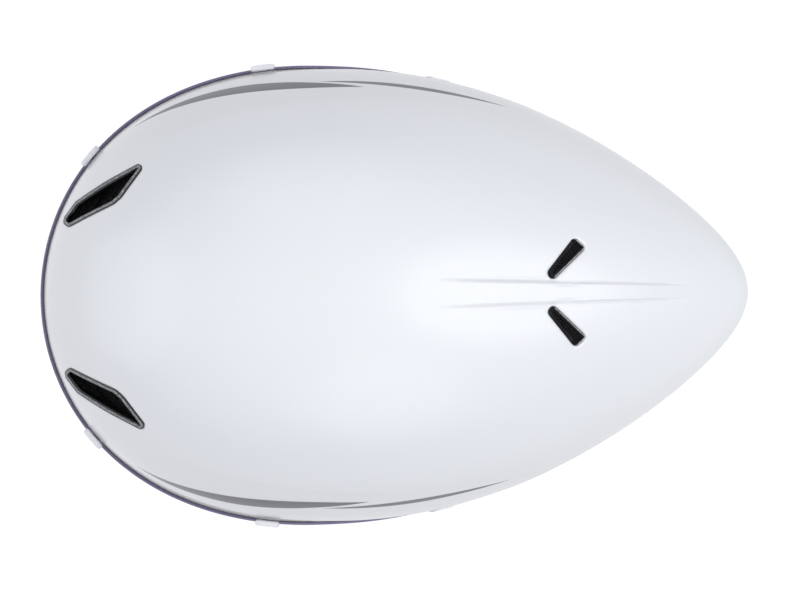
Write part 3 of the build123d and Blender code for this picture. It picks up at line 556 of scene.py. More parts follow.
def skinPiece(name, grow, wall, cuts, stations, angles, relief=None, root=None):
    # A wall that follows the body form, from grow down to grow - wall, cut by fields of its points.
    # relief gives the height that is added along the outward normal, root how much deeper the inner side lies.
    values, faces = formGrid(stations, angles)
    cells = leastStep(stations), leastStep(angles)

    def place(v):
        return formPoint(v[:, 0], v[:, 1], grow)

    def spacing(v):
        return np.interp(v[:, 0], stations, cells[0]), np.interp(v[:, 1], angles, cells[1], period=2 * math.pi)

    for cut in cuts:
        field = lambda q, cut=cut: cut(q) - wall / 2
        values = snapToLine(values, place, field, spacing)
        values, faces = clipMesh(values, faces, field(place(values)), turns=True)
    _, first, merged = np.unique(np.round(place(values) / skin["weld"]).astype(int), axis=0, return_index=True,
                                 return_inverse=True)
    values, faces = values[first], merged.ravel()[faces]
    faces = faces[(faces != np.roll(faces, 1, 1)).all(1)]
    outer = place(values)
    inner = formPoint(values[:, 0], values[:, 1], grow - wall - (root(outer) if root else 0))
    if relief:
        outer = outer + unit(outer - inner) * relief(outer)[:, None]
    return makeObject(name, *shellWalls(outer, inner, faces, cuts=cuts))


def sweep(path, across, up, profile):
    # A profile carried along a path: point = path + across * u + up * v for each (u, v) of the profile
    points = path[:, None] + across[:, None] * profile[None, :, 0:1] + up[:, None] * profile[None, :, 1:2]
    n, m = len(path), len(profile)
    faces = splitQuads(gridFaces(n, m, closeColumns=True)[:, ::-1])
    fan = np.stack([np.zeros(m - 2, int), np.arange(1, m - 1), np.arange(2, m)], -1)
    return points.reshape(-1, 3), np.concatenate([faces, fan, fan[:, ::-1] + (n - 1) * m])


def facingOut(made):
    # Merges doubles and turns a closed mesh so that its volume is positive
    work = bmesh.new()
    work.from_mesh(made.data)
    bmesh.ops.remove_doubles(work, verts=work.verts, dist=1e-6)
    bmesh.ops.recalc_face_normals(work, faces=work.faces)
    if work.calc_volume(signed=True) < 0:
        bmesh.ops.reverse_faces(work, faces=work.faces)
    work.to_mesh(made.data)
    work.free()
    return made


# Outlines seen from the side, as (x, z), and the fields that keep what is inside or outside one
def within(loop):
    return lambda q: inside(q[:, [0, 2]], loop)


def without(loop):
    return lambda q: -inside(q[:, [0, 2]], loop)


farX, topZ = 0.30, 0.32
edgeCorners = [(-0.1705, 0.092), (-0.060, 0.090), (-0.028, 0.086), (0.0355, 0.064), (0.0235, 0.0), (0.058, 0.0),
               (0.084, 0.062), (0.1726, 0.074)]
edgeRadii = [0, 0.080, 0.080, 0.006, 0.005, 0.005, 0.014, 0]


def aboveEdge(lift=0.0, shift=0.0):
    points = [(x + shift, z + lift) for x, z in edgeCorners]
    front, rear = points[0][1], points[-1][1]
    return outline(points + [(farX, rear), (farX, topZ), (-farX, topZ), (-farX, front)], edgeRadii + [0] * 4)


# Padded pieces, blown up as cloth. crown, corner and edge are the powers that round the pillow it starts from.
pillow = dict(rings=26, around=96, crown=0.3, corner=0.42, edge=0.55, voxel=0.0013, quality=4, stiffness=12,
              pressure=1.2, frames=20, cap=0.0005, seamDepth=0.0007, seamWidth=0.0011)


def padShape(place):
    # A closed pillow in the pad's own terms: u, v = cos/sin of the turn to the power corner, times the ring radius,
    # depth from 0 at the wall to 1 at the head side, with a rounded border of power edge
    turn = np.linspace(0, 2 * math.pi, pillow["around"], endpoint=False)
    dip = np.linspace(0, math.pi, pillow["rings"] + 2)[1:-1]
    radius = bent(np.sin(dip), pillow["crown"])[:, None]
    u = np.append(radius * bent(np.cos(turn), pillow["corner"]), [0, 0])
    v = np.append(radius * bent(np.sin(turn), pillow["corner"]), [0, 0])
    depth = np.append(np.repeat(0.5 + 0.5 * bent(np.cos(dip), pillow["edge"]), pillow["around"]), [1, 0])
    return place(u, v, depth), capped(pillow["rings"], pillow["around"])


def readPoints(made, key="co"):
    # The places, or the normals, of an object's vertices
    points = np.empty(len(made.data.vertices) * 3)
    made.data.vertices.foreach_get(key, points)
    return points.reshape(-1, 3)


def writePoints(made, points):
    made.data.vertices.foreach_set("co", np.ascontiguousarray(points, np.float32).ravel())
    made.data.update()


def evaluated(made):
    return made.evaluated_get(bpy.context.evaluated_depsgraph_get())


def applyAll(made):
    shaped = bpy.data.meshes.new_from_object(evaluated(made))
    made.modifiers.clear()
    made.data = shaped


def blowUp(made):
    # Voxel remesh, then a short cloth run with pressure and no gravity. No point moves further than cap.
    remesh = made.modifiers.new("even", "REMESH")
    remesh.mode, remesh.voxel_size = "VOXEL", pillow["voxel"]
    applyAll(made)
    before = readPoints(made)
    cloth = made.modifiers.new("cloth", "CLOTH")
    run = cloth.settings
    run.quality, run.use_pressure, run.uniform_pressure_force = pillow["quality"], True, pillow["pressure"]
    run.tension_stiffness = run.compression_stiffness = pillow["stiffness"]
    run.effector_weights.gravity = 0
    cloth.point_cache.frame_start, cloth.point_cache.frame_end = 1, pillow["frames"]
    for step in range(1, pillow["frames"] + 1):
        bpy.context.scene.frame_set(step)
    move = readPoints(evaluated(made)) - before
    made.modifiers.clear()
    bpy.context.scene.frame_set(1)
    size = np.linalg.norm(move, axis=1, keepdims=True)
    writePoints(made, before + move * np.minimum(1, pillow["cap"] / np.maximum(size, 1e-9)))
    finer = made.modifiers.new("finer", "SUBSURF")
    finer.levels = finer.render_levels = 1
    applyAll(made)
    made.data.polygons.foreach_set("use_smooth", np.ones(len(made.data.polygons), bool))


def sewSeams(made, locate, seams, border):
    # Seams as soft grooves: each vertex sinks along its normal by depth exp(-(distance / width)^2) from the nearest
    # seam line of u, and from the ring at border of the pad's own radius (u^6 + v^6)^(1/6)
    points, width = readPoints(made), pillow["seamWidth"]
    u, v, spanU, spanV = locate(points)
    ring = (np.abs(u) ** 6 + np.abs(v) ** 6) ** (1 / 6)
    gaps = [(u - at) * spanU for at in seams] + [(ring - border) * min(spanU, spanV)]
    groove = np.max([np.exp(-(gap / width) ** 2) for gap in gaps], 0)
    writePoints(made, points - readPoints(made, "normal") * (pillow["seamDepth"] * groove)[:, None])


# The head cavity, and the pads on its wall
cavity = dict(x=-0.032, z=0.081, length=0.102, width=0.082, height=0.082)
padGap, padThick = 0.0004, 0.0046
browPad = dict(reach=0.84, z=0.106, half=(0.080, 0.0092))
sidePad = dict(middle=(-0.030, 0.114), half=(0.0345, 0.0073))
crownPads = {"crown_pad_center": dict(middle=(-0.0275, 0.0), half=(0.0462, 0.0122)),
             "crown_pad_right": dict(middle=(-0.0275, 0.043), half=(0.0462, 0.0093)),
             "crown_pad_left": dict(middle=(-0.0275, -0.043), half=(0.0462, 0.0093))}
earPad = dict(x=-0.021, half=(0.0282, 0.012), low=0.0468, high=0.0752, slope=0.012, inset=0.0149, thick=0.0034)
yokePad = dict(x=0.0585, middle=(0.0, 0.034), half=(0.0165, 0.0125), thick=0.0037)


def domeShare(z, inset):
    up = np.clip((z - cavity["z"]) / (cavity["height"] - inset), 0, 0.999)
    return np.sqrt(1 - up * up)


def bandPoint(turn, z, inset):
    # The cavity's wall by its plan angle: x = middle + length share cos, y = width share sin,
    # where share = sqrt(1 - rise^2) in the dome
    share = domeShare(z, inset)
    return np.stack([cavity["x"] + (cavity["length"] - inset) * share * np.cos(turn),
                     (cavity["width"] - inset) * share * np.sin(turn), z + 0 * turn], -1)


def domePoint(x, y, inset):
    # The cavity's roof over (x, y)
    flat = ((x - cavity["x"]) / (cavity["length"] - inset)) ** 2 + (y / (cavity["width"] - inset)) ** 2
    return np.stack([x, y, cavity["z"] + (cavity["height"] - inset) * np.sqrt(1 - flat)], -1)


def straightOn(axes, pad):
    # The inverse of a pad that runs straight along two axes: u, v and the half sizes
    return lambda q: (*((q[:, axes] - pad["middle"]) / pad["half"]).T, *pad["half"])


def padSpecs():
    # Each pad: name, body, place(u, v, depth), its inverse with the half sizes, seam lines, and the border's radius
    depthOf = lambda d: padGap + d * padThick

    def browPlace(u, v, d):
        return bandPoint(math.pi + u * browPad["reach"], browPad["z"] + v * browPad["half"][1], depthOf(d))

    def browLocate(q):
        turn = np.arctan2(q[:, 1] / cavity["width"], (q[:, 0] - cavity["x"]) / cavity["length"]) % (2 * math.pi)
        u, v = (turn - math.pi) / browPad["reach"], (q[:, 2] - browPad["z"]) / browPad["half"][1]
        return u, v, *browPad["half"]

    yield "brow_pad", "helmet", browPlace, browLocate, (-0.66, -0.33, 0, 0.33, 0.66), 0.86

    for side, suffix in sides:
        def sidePlace(u, v, d, side=side):
            x, z = [middle + q * half for q, middle, half in zip((u, v), sidePad["middle"], sidePad["half"])]
            reach = (cavity["length"] - depthOf(d)) * domeShare(z, depthOf(d))
            turn = np.arccos(np.clip((x - cavity["x"]) / reach, -1, 1))
            return bandPoint(turn, z, depthOf(d)) * np.array([1, side, 1])

        yield "side_pad" + suffix, "helmet", sidePlace, straightOn([0, 2], sidePad), (-0.34, 0.34), 0.84

    for name, pad in crownPads.items():
        def crownPlace(u, v, d, pad=pad):
            x, y = [middle + q * half for q, middle, half in zip((u, v), pad["middle"], pad["half"])]
            return domePoint(x, y, depthOf(d))

        yield name, "helmet", crownPlace, straightOn([0, 1], pad), (-0.5, 0, 0.5), 0.86

    def earSpan(u):
        # The ear pad's lower edge and its height at u: its upper edge falls to the rear
        return earPad["low"], earPad["high"] - earPad["slope"] * (u + 1) / 2 - earPad["low"]

    for side, suffix in sides:
        def earPlace(u, v, d, side=side):
            x, (low, height) = earPad["x"] + u * earPad["half"][0], earSpan(u)
            z = low + height * (v + 1) / 2
            outer, inner = [flankY(x, z, -earPad["inset"] - thick) for thick in (0, earPad["thick"])]
            return np.stack([x, side * (outer + (inner - outer) * d), z], -1)

        def earLocate(q):
            u = (q[:, 0] - earPad["x"]) / earPad["half"][0]
            low, height = earSpan(u)
            return u, 2 * (q[:, 2] - low) / height - 1, *earPad["half"]

        yield "ear_pad" + suffix, "helmet", earPlace, earLocate, (), 0.82

    def yokePlace(u, v, d):
        y, z = [middle + q * half for q, middle, half in zip((u, v), yokePad["middle"], yokePad["half"])]
        return np.stack([yokePad["x"] - d * yokePad["thick"], y, z], -1)

    yield "yoke_pad", "fit_yoke", yokePlace, straightOn([1, 2], yokePad), (-0.33, 0.33), 0.86


fabric, tree, shader, place = material("padFabric", rough=0.92, **{"Sheen Weight": 0.35, "Sheen Roughness": 0.5})
knit = useGroup(tree, knitGroup, place, Scale=1150.0, Base=(0.125, 0.130, 0.145), Deep=(0.030, 0.031, 0.036))
coverWith(tree, shader, knit, 0.55, 0.00035)

for name, body, place, locate, seams, border in padSpecs():
    pad = facingOut(makeObject(name + "_cloth", *padShape(place)))
    blowUp(pad)
    sewSeams(pad, locate, seams, border)
    finishPiece(pad, fabric, body, "pad_fabric", name)
print("pads done")

# Outer shell
shell = dict(wall=0.0025, white=(0.80, 0.815, 0.84), stripe=(0.060, 0.062, 0.088), dust=(0.55, 0.55, 0.56),
             spineFront=0.017, spineRear=0.1326, spineWide=0.0110, spineNarrow=0.0052, spineRise=0.0010,
             spineSpan=(0.012, 0.050, 0.104, 0.136), softFront=0.0014, softRear=0.0006, crisping=(0.064, 0.080),
             foot=0.4, dent=0.35, dentX=0.0745, creaseSpan=(-0.125, -0.080, 0.020, 0.075),
             creaseX=[-0.1145, -0.0568, -0.0245, 0.0032, 0.0402, 0.075],
             creaseAngle=[0.72, 0.62, 0.574, 0.541, 0.517, 0.50], creaseDrop=0.00055)
flashes = [dict(start=-0.118, end=-0.012, front=0.1175, rear=0.1335, bow=0.016, thick=0.0042),
           dict(start=-0.034, end=0.052, front=0.1290, rear=0.1170, bow=0.014, thick=0.0019)]
ventCorners = [(0, 0), (0.035, 0.178), (0.201, 0.399), (0.549, 0.271), (1, 0), (0.6, -0.705), (0.51, -0.752),
               (0.036, -0.346)]
vent = dict(x=-0.1487, y=0.0335, length=0.0504, width=0.011, turn=33, bend=0.0018, lap=0.00045, rim=0.0016,
            rise=0.0005, outside=0.0001, round=0.0004, count=220)
# In outlet, rim is the width of the painted highlight along the plate's tail-side edges, which the holes keep clear
# of
outlet = dict(x=0.0748, y=0.0145, half=0.0102, inner=0.0042, outer=0.007, turn=47, bend=0.0019, depth=0.0006,
              wall=0.0003, gap=0.00015, rim=0.0008, hole=0.00036, pitch=0.00135, rowShare=0.86, edgeToHole=0.0008,
              rimToHole=0.0005, reach=(0.0106, 0.0039), cells=(116, 44))


def turned(points, turn, x, y):
    c, s = math.cos(math.radians(turn)), math.sin(math.radians(turn))
    points = np.asarray(points, float)
    return np.stack([x + points[:, 0] * c - points[:, 1] * s, y + points[:, 0] * s + points[:, 1] * c], -1)


ventLoop = outline(turned([(r * vent["length"], s * vent["width"]) for r, s in ventCorners], vent["turn"],
                          vent["x"], vent["y"]), vent["bend"], 0.0004)
slotEnd, slotIn, slotOut = outlet["half"], outlet["inner"] / 2, outlet["outer"] / 2
slotCorners = [(-slotEnd, -slotIn), (slotEnd, -slotOut), (slotEnd, slotOut), (-slotEnd, slotIn)]
outletLoop = outline(turned(slotCorners, outlet["turn"], outlet["x"], outlet["y"]), outlet["bend"], 0.0003)


def nearOnly(q, loop, margin=0.006, far=-0.01):
    # Signed distance to a small loop on the crown, worked out only near it, and far elsewhere
    flat = onRight(q)[:, :2]
    low, high = loop.min(0) - margin, loop.max(0) + margin
    close = ((flat > low) & (flat < high)).all(1) & (q[:, 2] > form["level"])
    out = np.full(len(q), far)
    if close.any():
        out[close] = inside(flat[close], loop)
    return out


def shellRelief(q):
    # Spine: rise * S(|y|) * fade(x), a flat-topped ridge that narrows to the tail, with a groove along its foot,
    # soft in front and crisp behind, and a dent in each flank between the outlets.
    # Side crease: everything below the crease angle sinks by drop * smoothstep of the angle past it,
    # and less so further down.
    x, aside, z = onRight(q).T
    run = np.clip((x - shell["spineFront"]) / (shell["spineRear"] - shell["spineFront"]), 0, 1)
    half = (shell["spineWide"] + (shell["spineNarrow"] - shell["spineWide"]) * run ** 0.8) / 2
    soft = shell["softFront"] + (shell["softRear"] - shell["softFront"]) * smoothStep(x, *shell["crisping"])
    ridge = 1 - smoothStep(aside, half - 0.4 * soft, half + soft)
    ridge = ridge - shell["foot"] * np.exp(-((aside - half - 1.2 * soft) / (0.7 * soft)) ** 2)
    dent = np.exp(-((x - shell["dentX"]) / 0.0045) ** 2) * smoothStep(aside, half - 0.0018, half - 0.0004)
    ridge = ridge * (1 - shell["dent"] * dent)
    wide, high, _ = formSpans(x)
    angle = np.arctan2((z - form["level"]) / high, aside / wide)
    past = np.interp(x, shell["creaseX"], shell["creaseAngle"]) - angle
    sunk = smoothStep(past, -0.012, 0.05) * (1 - 0.65 * smoothStep(past, 0.10, 0.45))
    ridge, sunk = ridge * hump(x, *shell["spineSpan"]) * (z > form["level"]), sunk * hump(x, *shell["creaseSpan"])
    return shell["spineRise"] * ridge - shell["creaseDrop"] * sunk


edgeLoop = aboveEdge()
shellCuts = [within(edgeLoop), lambda q: vent["lap"] - nearOnly(q, ventLoop),
             lambda q: -nearOnly(q, outletLoop)]
# The grid is finest round the vents, the outlets and the spine
half = vary((0, 0.5, 20), (0.5, 1.27, 48), (1.27, 1.46, 11), (1.46, 1.553, 40), (1.553, math.pi / 2, 4))
under = vary((-math.pi / 2, -0.75, 14), (-0.75, 0, 26))
ringAngles = np.concatenate([under, half, [math.pi / 2], (math.pi - half)[::-1], math.pi - under[::-1][:-1]])
stations = vary((0.02, 0.5, 12), (0.5, 1.12, 46), (1.12, 2.06, 50), (2.06, 2.30, 24), (2.30, 3.12, 46))
outerShell = skinPiece("shell", 0.0, shell["wall"], shellCuts, stations, ringAngles, shellRelief)

shellFinish, tree, shader, place = material("shellGloss", rough=0.34, coat=0.30, coatRough=0.16)
px, _, pz = node(tree, "SeparateXYZ", place).outputs


def sideFlash(start, end, front, rear, bow, thick):
    # A leaf-shaped flash on the side: with t = (x - start) / (end - start) and
    # middle = front + (rear - front) t + bow t (1 - t), painted where |z - middle| < 4 thick t (1 - t)
    t = mathNode(tree, "DIVIDE", mathNode(tree, "SUBTRACT", px, start), end - start)
    humped = mathNode(tree, "MULTIPLY", t, mathNode(tree, "SUBTRACT", 1.0, t))
    middle = mathNode(tree, "MULTIPLY_ADD", t, rear - front, front)
    off = mathNode(tree, "SUBTRACT", pz, mathNode(tree, "MULTIPLY_ADD", humped, bow, middle))
    room = mathNode(tree, "SUBTRACT", mathNode(tree, "MULTIPLY", humped, 4 * thick), mathNode(tree, "ABSOLUTE", off))
    return ramp(tree, room, -0.0001, 0.0002)


stripes = mathNode(tree, "MAXIMUM", *[sideFlash(**flash) for flash in flashes])
slow = node(tree, "TexNoise", Vector=place, Scale=9).outputs[0]
paint = mixColour(tree, ramp(tree, slow, 0.3, 0.7), shell["white"], tuple(c * 0.985 for c in shell["white"]))
dust = mathNode(tree, "MULTIPLY", handle(tree, shader, place, 0.30, 0.38), 0.12)
paint = mixColour(tree, stripes, mixColour(tree, dust, paint, shell["dust"]), shell["stripe"])
feed(tree, shader.inputs["Base Color"], paint)
peel = node(tree, "TexNoise", Vector=place, Scale=180, Detail=2).outputs[0]
bumpFrom(tree, shader, peel, 0.03, 0.0003)
finishPiece(outerShell, shellFinish, "helmet", "shell_white", "outer_shell")
print("shell", len(outerShell.data.polygons))

# Finishes shared by the other pieces: base and deep colour, then scale, strength, depth, roughness, spread, metal
blackPlastic = grainy("blackPlastic", (0.022, 0.022, 0.025), (0.008, 0.008, 0.009), 1400, 0.18, 0.0001, 0.42)
satinPlastic = grainy("satinPlastic", (0.030, 0.031, 0.035), (0.012, 0.012, 0.014), 2200, 0.10, 0.00006, 0.30)
rubber = grainy("rubber", (0.018, 0.018, 0.020), (0.006, 0.006, 0.007), 3000, 0.25, 0.0001, 0.68)
sealFinish = grainy("sealRubber", (0.085, 0.080, 0.110), (0.040, 0.038, 0.052), 3000, 0.2, 0.0001, 0.55)
steel = grainy("steel", (0.62, 0.62, 0.63), (0.42, 0.42, 0.44), 1800, 0.08, 0.00005, 0.26, 0.6, 1.0)
magnetFinish = grainy("magnetPlate", (0.55, 0.56, 0.58), (0.36, 0.37, 0.39), 900, 0.06, 0.00005, 0.20, 0.5, 1.0)

# Vent rim: a speckled pale band on its top between a dark outer line and the black inside of the vent, from the rim's
# own map in millimetres. The near black of the rim's walls below its top is painted shade of the vent's recess.
bezelFinish, tree, shader, place = material("bezelGrain", rough=0.55)
across, deep, _ = node(tree, "SeparateXYZ", ownMap(tree)).outputs
band = mathNode(tree, "MULTIPLY", ramp(tree, across, 0.25, 0.6), ramp(tree, across, 1.62, 1.3))
# Painted shade: the rim turns near black with depth below its top
band = mathNode(tree, "MULTIPLY", band, ramp(tree, deep, -0.3, 0.3))
speckle = useGroup(tree, grainGroup, place, Scale=1000.0, Base=(0.36, 0.37, 0.38), Deep=(0.050, 0.052, 0.056),
                   Spread=1.0)
# The near-black grain painted as the shade inside the vent
shadedThroat = useGroup(tree, grainGroup, place, Scale=1600.0, Base=(0.030, 0.031, 0.034), Deep=(0.010, 0.010, 0.011),
                  Spread=1.0)
feed(tree, shader.inputs["Base Color"], mixColour(tree, band, shadedThroat.outputs["Colour"], speckle.outputs["Colour"]))
bumpFrom(tree, shader, speckle.outputs["Height"], 0.7, 0.0003)

# Rear vent plate: black, with a pale grained rim along its two edges nearest the tail, a painted highlight where
# those edges catch the light
plateFinish, tree, shader, place = material("ventPlate", rough=0.7, **{"Specular IOR Level": 0.15})
px, py, _ = node(tree, "SeparateXYZ", place).outputs
awayX = mathNode(tree, "SUBTRACT", px, outlet["x"])
awayY = mathNode(tree, "SUBTRACT", mathNode(tree, "ABSOLUTE", py), outlet["y"])
c, s = math.cos(math.radians(outlet["turn"])), math.sin(math.radians(outlet["turn"]))
alongSlot = mathNode(tree, "ADD", mathNode(tree, "MULTIPLY", awayX, c), mathNode(tree, "MULTIPLY", awayY, s))
acrossSlot = mathNode(tree, "SUBTRACT", mathNode(tree, "MULTIPLY", awayY, c), mathNode(tree, "MULTIPLY", awayX, s))
halfWidth = mathNode(tree, "MULTIPLY_ADD", alongSlot, (slotOut - slotIn) / (2 * slotEnd), (slotOut + slotIn) / 2)
tailGap = mathNode(tree, "MINIMUM", mathNode(tree, "ADD", acrossSlot, halfWidth),
                   mathNode(tree, "SUBTRACT", slotEnd, alongSlot))
# Painted highlight: the band along the tail-side edges is painted pale
paintedHighlight = ramp(tree, tailGap, outlet["rim"] + 0.0001, outlet["rim"] - 0.0001)
dark = useGroup(tree, grainGroup, place, Scale=2600.0, Base=(0.0035, 0.003, 0.004), Deep=(0.022, 0.021, 0.024),
                Spread=0.7)
pale = useGroup(tree, grainGroup, place, Scale=1500.0, Base=(0.55, 0.56, 0.58), Deep=(0.05, 0.05, 0.06), Spread=1.0)
feed(tree, shader.inputs["Base Color"], mixColour(tree, paintedHighlight, dark.outputs["Colour"], pale.outputs["Colour"]))
bumpFrom(tree, shader, dark.outputs["Height"], 0.3, 0.0001)

foam, tree, shader, place = material("foamBeads", rough=0.78)
cells = useGroup(tree, beadGroup, place, Scale=340.0, Base=(0.055, 0.056, 0.060), Seam=(0.012, 0.012, 0.014))
coverWith(tree, shader, cells, 0.5, 0.0003)

milky, tree, shader, place = material("milkyPod", rough=0.30, coat=0.3)
cloud = useGroup(tree, grainGroup, place, Scale=420.0, Base=(0.86, 0.86, 0.90), Deep=(0.76, 0.76, 0.82), Spread=0.6)
coverWith(tree, shader, cloud, 0.06, 0.0001)
handle(tree, shader, place, 0.24, 0.36)

# Lens: violet, paler in slow drifts, and with a painted sheen that makes it paler towards its rims, where it is seen
# edge-on
lensFinish, tree, shader, place = material("lensViolet", rough=0.05, coat=0.4, ior=1.45, Alpha=0.84)
# Painted sheen: the lens colour turns paler the more edge-on the surface is seen
edgeOnSheen = node(tree, "LayerWeight", Blend=0.35).outputs["Facing"]
slow = node(tree, "TexNoise", Vector=place, Scale=6).outputs[0]
driftAndSheen = mathNode(tree, "MULTIPLY_ADD", slow, 0.4, mathNode(tree, "MULTIPLY", edgeOnSheen, 0.8))
violet = mixColour(tree, ramp(tree, driftAndSheen, 0.15, 0.95), (0.125, 0.098, 0.235), (0.21, 0.175, 0.39))
feed(tree, shader.inputs["Base Color"], violet)
handle(tree, shader, place, 0.03, 0.08)

webFinish, tree, shader, _ = material("webbing", rough=0.62, **{"Sheen Weight": 0.25})
twill = useGroup(tree, weaveGroup, ownMap(tree), Pitch=1.15, Base=(0.058, 0.058, 0.064), Deep=(0.010, 0.010, 0.012))
coverWith(tree, shader, twill, 0.7, 0.0003)
print("materials done")


# Front vents and rear vents
def bothWays(name, points, faces, finish, body, slotName, nodes, uv=None):
    # The right piece and its mirror image on the left
    for side, suffix in sides:
        made = facingOut(makeObject(name + suffix, *flipped(points, faces, side), uv))
        finishPiece(made, finish, body, slotName, nodes + suffix)


def roundedProfile(width, height, bend, u=0.0, v=0.0, steps=4):
    # A rectangle with rounded corners, counter-clockwise, with its low corner at (u, v)
    return outline([(u, v), (u + width, v), (u + width, v + height), (u, v + height)], bend, bend * 1.5 / steps)


rimPath = evenly(np.concatenate([ventLoop, ventLoop[:1]]), vent["count"], closed=True)
rimRun = unit(np.roll(rimPath, -1, 0) - np.roll(rimPath, 1, 0))
inward = np.stack([-rimRun[:, 1], rimRun[:, 0]], -1)
if inside(rimPath[:1] + inward[:1] * 0.001, ventLoop)[0] < 0:
    inward = -inward
profile = roundedProfile(vent["rim"] + vent["outside"], shell["wall"] + vent["rise"], vent["round"], -vent["outside"],
                         -shell["wall"])
flatPoints = rimPath[:, None] + inward[:, None] * profile[None, :, 0:1]
heights = crownZ(flatPoints[..., 0], flatPoints[..., 1]) + profile[None, :, 1]
rimPoints = np.concatenate([flatPoints, heights[..., None]], -1).reshape(-1, 3)
rimFaces = splitQuads(gridFaces(len(rimPath), len(profile), closeRows=True, closeColumns=True))
rimMap = np.tile(profile * 1000, (len(rimPath), 1))
bothWays("front_vent_rim", rimPoints, rimFaces, bezelFinish, "helmet", "vent_grey", "front_vent_bezel", rimMap)


def tailSide(local):
    # How far a point of the slot lies from its edge towards the tail: the lesser of v + half width(u) and end - u
    u, v = local.T
    halfWidth = slotIn + (slotOut - slotIn) * (u + slotEnd) / (2 * slotEnd)
    return np.minimum(v + halfWidth, slotEnd - u)


def pairs(first, second):
    # Every pair of a value of the first and a value of the second
    return np.stack([q.ravel() for q in np.meshgrid(first, second, indexing="ij")], -1)


# A plate with rows of round holes, each row shifted by half a pitch, and plain along its rim
slotEdge = outline(slotCorners, outlet["bend"], 0.0003)
columns, rows = pairs(np.arange(-8, 9), np.arange(-4, 5)).T
pitch = outlet["pitch"]
centres = np.stack([columns * pitch + (rows % 2) * pitch / 2, rows * pitch * outlet["rowShare"]], -1)
centres = centres[(inside(centres, slotEdge) > outlet["edgeToHole"])
                  & (tailSide(centres) > outlet["rim"] + outlet["rimToHole"])]
plate = pairs(*[np.linspace(-reach, reach, count) for reach, count in zip(outlet["reach"], outlet["cells"])])
lip = outlet["wall"] / 2
edgeField = inside(plate, slotEdge) - outlet["gap"] - lip
holeField = np.linalg.norm(plate[:, None] - centres[None], axis=2).min(1) - outlet["hole"] - lip
plate, plateFaces = clipMesh(plate, splitQuads(gridFaces(*outlet["cells"])), np.minimum(edgeField, holeField))
spot = turned(plate, outlet["turn"], outlet["x"], outlet["y"])
top, low = [np.concatenate([spot, crownZ(*spot.T, -depth)[:, None]], -1)
            for depth in (outlet["depth"], outlet["depth"] + outlet["wall"])]
bothWays("rear_vent_plate", *shellWalls(top, low, plateFaces, 3), plateFinish, "helmet", "black_plastic",
         "rear_vent_mesh")
print("vents done")

# Visor lens
lens = dict(grow=0.0021, wall=0.0016, turn=0.20, archX=-0.100, notch=(0.0058, 0.0057))
blankLoop = outline([(-farX, topZ), (0.034, topZ), (0.034, 0.0635), (0.0225, 0.005), (-0.030, 0.004), (-0.110, 0.009),
                     (-farX, 0.014)], [0, 0, 0.005, 0.005, 0.005, 0.005, 0])
visorLoop = outline([(-farX, 0.100), (-0.1705, 0.100), (-0.060, 0.098), (-0.028, 0.085), (0.034, 0.0635),
                     (farX, 0.0635), (farX, topZ), (-farX, topZ)], [0, 0, 0.080, 0.080, 0.005, 0, 0, 0])
archLoop = outline([(-0.022, -0.038), (0.022, -0.038), (0.022, 0.038), (-0.022, 0.038)], 0.016)

# Where the pods stand: x, z, and the rise of the visor's edge there. The rear ones sit on its sloping part.
slopeX, slopeZ, slopeRise = -0.028, 0.086, (0.064 - 0.086) / (0.0355 + 0.028)
podSpots = {"front": (-0.1367, 0.100, 0), "middle": (-0.0591, 0.098, 0),
            "rear": (0.0217, slopeZ + (0.0217 - slopeX) * slopeRise, slopeRise)}


def podFrame(x, z, rise, step=0.00025):
    # Origin on the flank, across along it, down the flank, and out of it
    ahead, here, behind = [float(flankY(np.array(q), np.array(z))) for q in (x + step, x, x - step)]
    slope = (ahead - behind) / (2 * step)
    across, out = unit(np.array([1, slope, rise])), unit(np.array([-slope, 1, 0]))
    return np.array([x, here, z]), across, np.cross(out, across), out


podFrames = {key: podFrame(*spot) for key, spot in podSpots.items()}


def inFrame(q, frameOf):
    origin, across, down, out = frameOf
    away = onRight(q) - origin
    return away @ across, away @ down, away @ out


def notch(q):
    # Outside the block that the rear pods take out of the lens
    u, v, _ = inFrame(q, podFrames["rear"])
    return -np.minimum(lens["notch"][0] - np.abs(u), lens["notch"][1] - np.abs(v))


lensCuts = [within(blankLoop), without(visorLoop),
            lambda q: np.maximum(-inside(q[:, [1, 2]], archLoop), q[:, 0] - lens["archX"]), notch]
lensAngles = vary((lens["turn"], math.pi - lens["turn"], 8),
                  (math.pi - lens["turn"], 2 * math.pi + lens["turn"], 190))
lensStations = vary((0.03, 0.5, 26), (0.5, 1.95, 92), (1.95, 3.1, 5))
visorLens = skinPiece("visor", lens["grow"], lens["wall"], lensCuts, lensStations, lensAngles)
finishPiece(visorLens, lensFinish, "visor", "lens_violet", "visor_lens")
print("lens", len(visorLens.data.polygons))

# Visor seal: along the lens's upper edge from side to side round the nose, left out at the front and middle pods
seal = dict(rear=-0.038, gap=0.0057, width=0.0004, height=0.0010, bend=0.00018, out=0.0003, up=0.0001,
            reach=1.6457, samples=3000, count=420)
x = form["widestX"] - form["nose"] * np.cos(np.linspace(0.0, seal["reach"], seal["samples"]))
lower = visorLoop[visorLoop[:, 1] < 0.2]
z = np.interp(x, *lower[np.argsort(lower[:, 0])].T)
right = np.stack([x, flankY(x, z), z], -1)
right = right[(right[:, 1] > 0) & (x < seal["rear"])]
right = np.concatenate([[[right[0, 0], 0, right[0, 2]]], right])
path = evenly(np.concatenate([(right * np.array([1, -1, 1]))[:0:-1], right]), seal["count"])
outward = unit(np.cross(np.gradient(path, axis=0), np.array([0, 0, 1.0])))
outward *= np.sign((outward * (path - np.array([form["widestX"], 0, form["level"]]))).sum(1))[:, None]
clear = np.ones(len(path), bool)
for key in ("front", "middle"):
    u, _, w = inFrame(path, podFrames[key])
    clear &= (np.abs(w) >= 0.02) | (np.abs(u) > seal["gap"])
bounds = np.flatnonzero(np.diff(np.concatenate([[False], clear, [False]])))
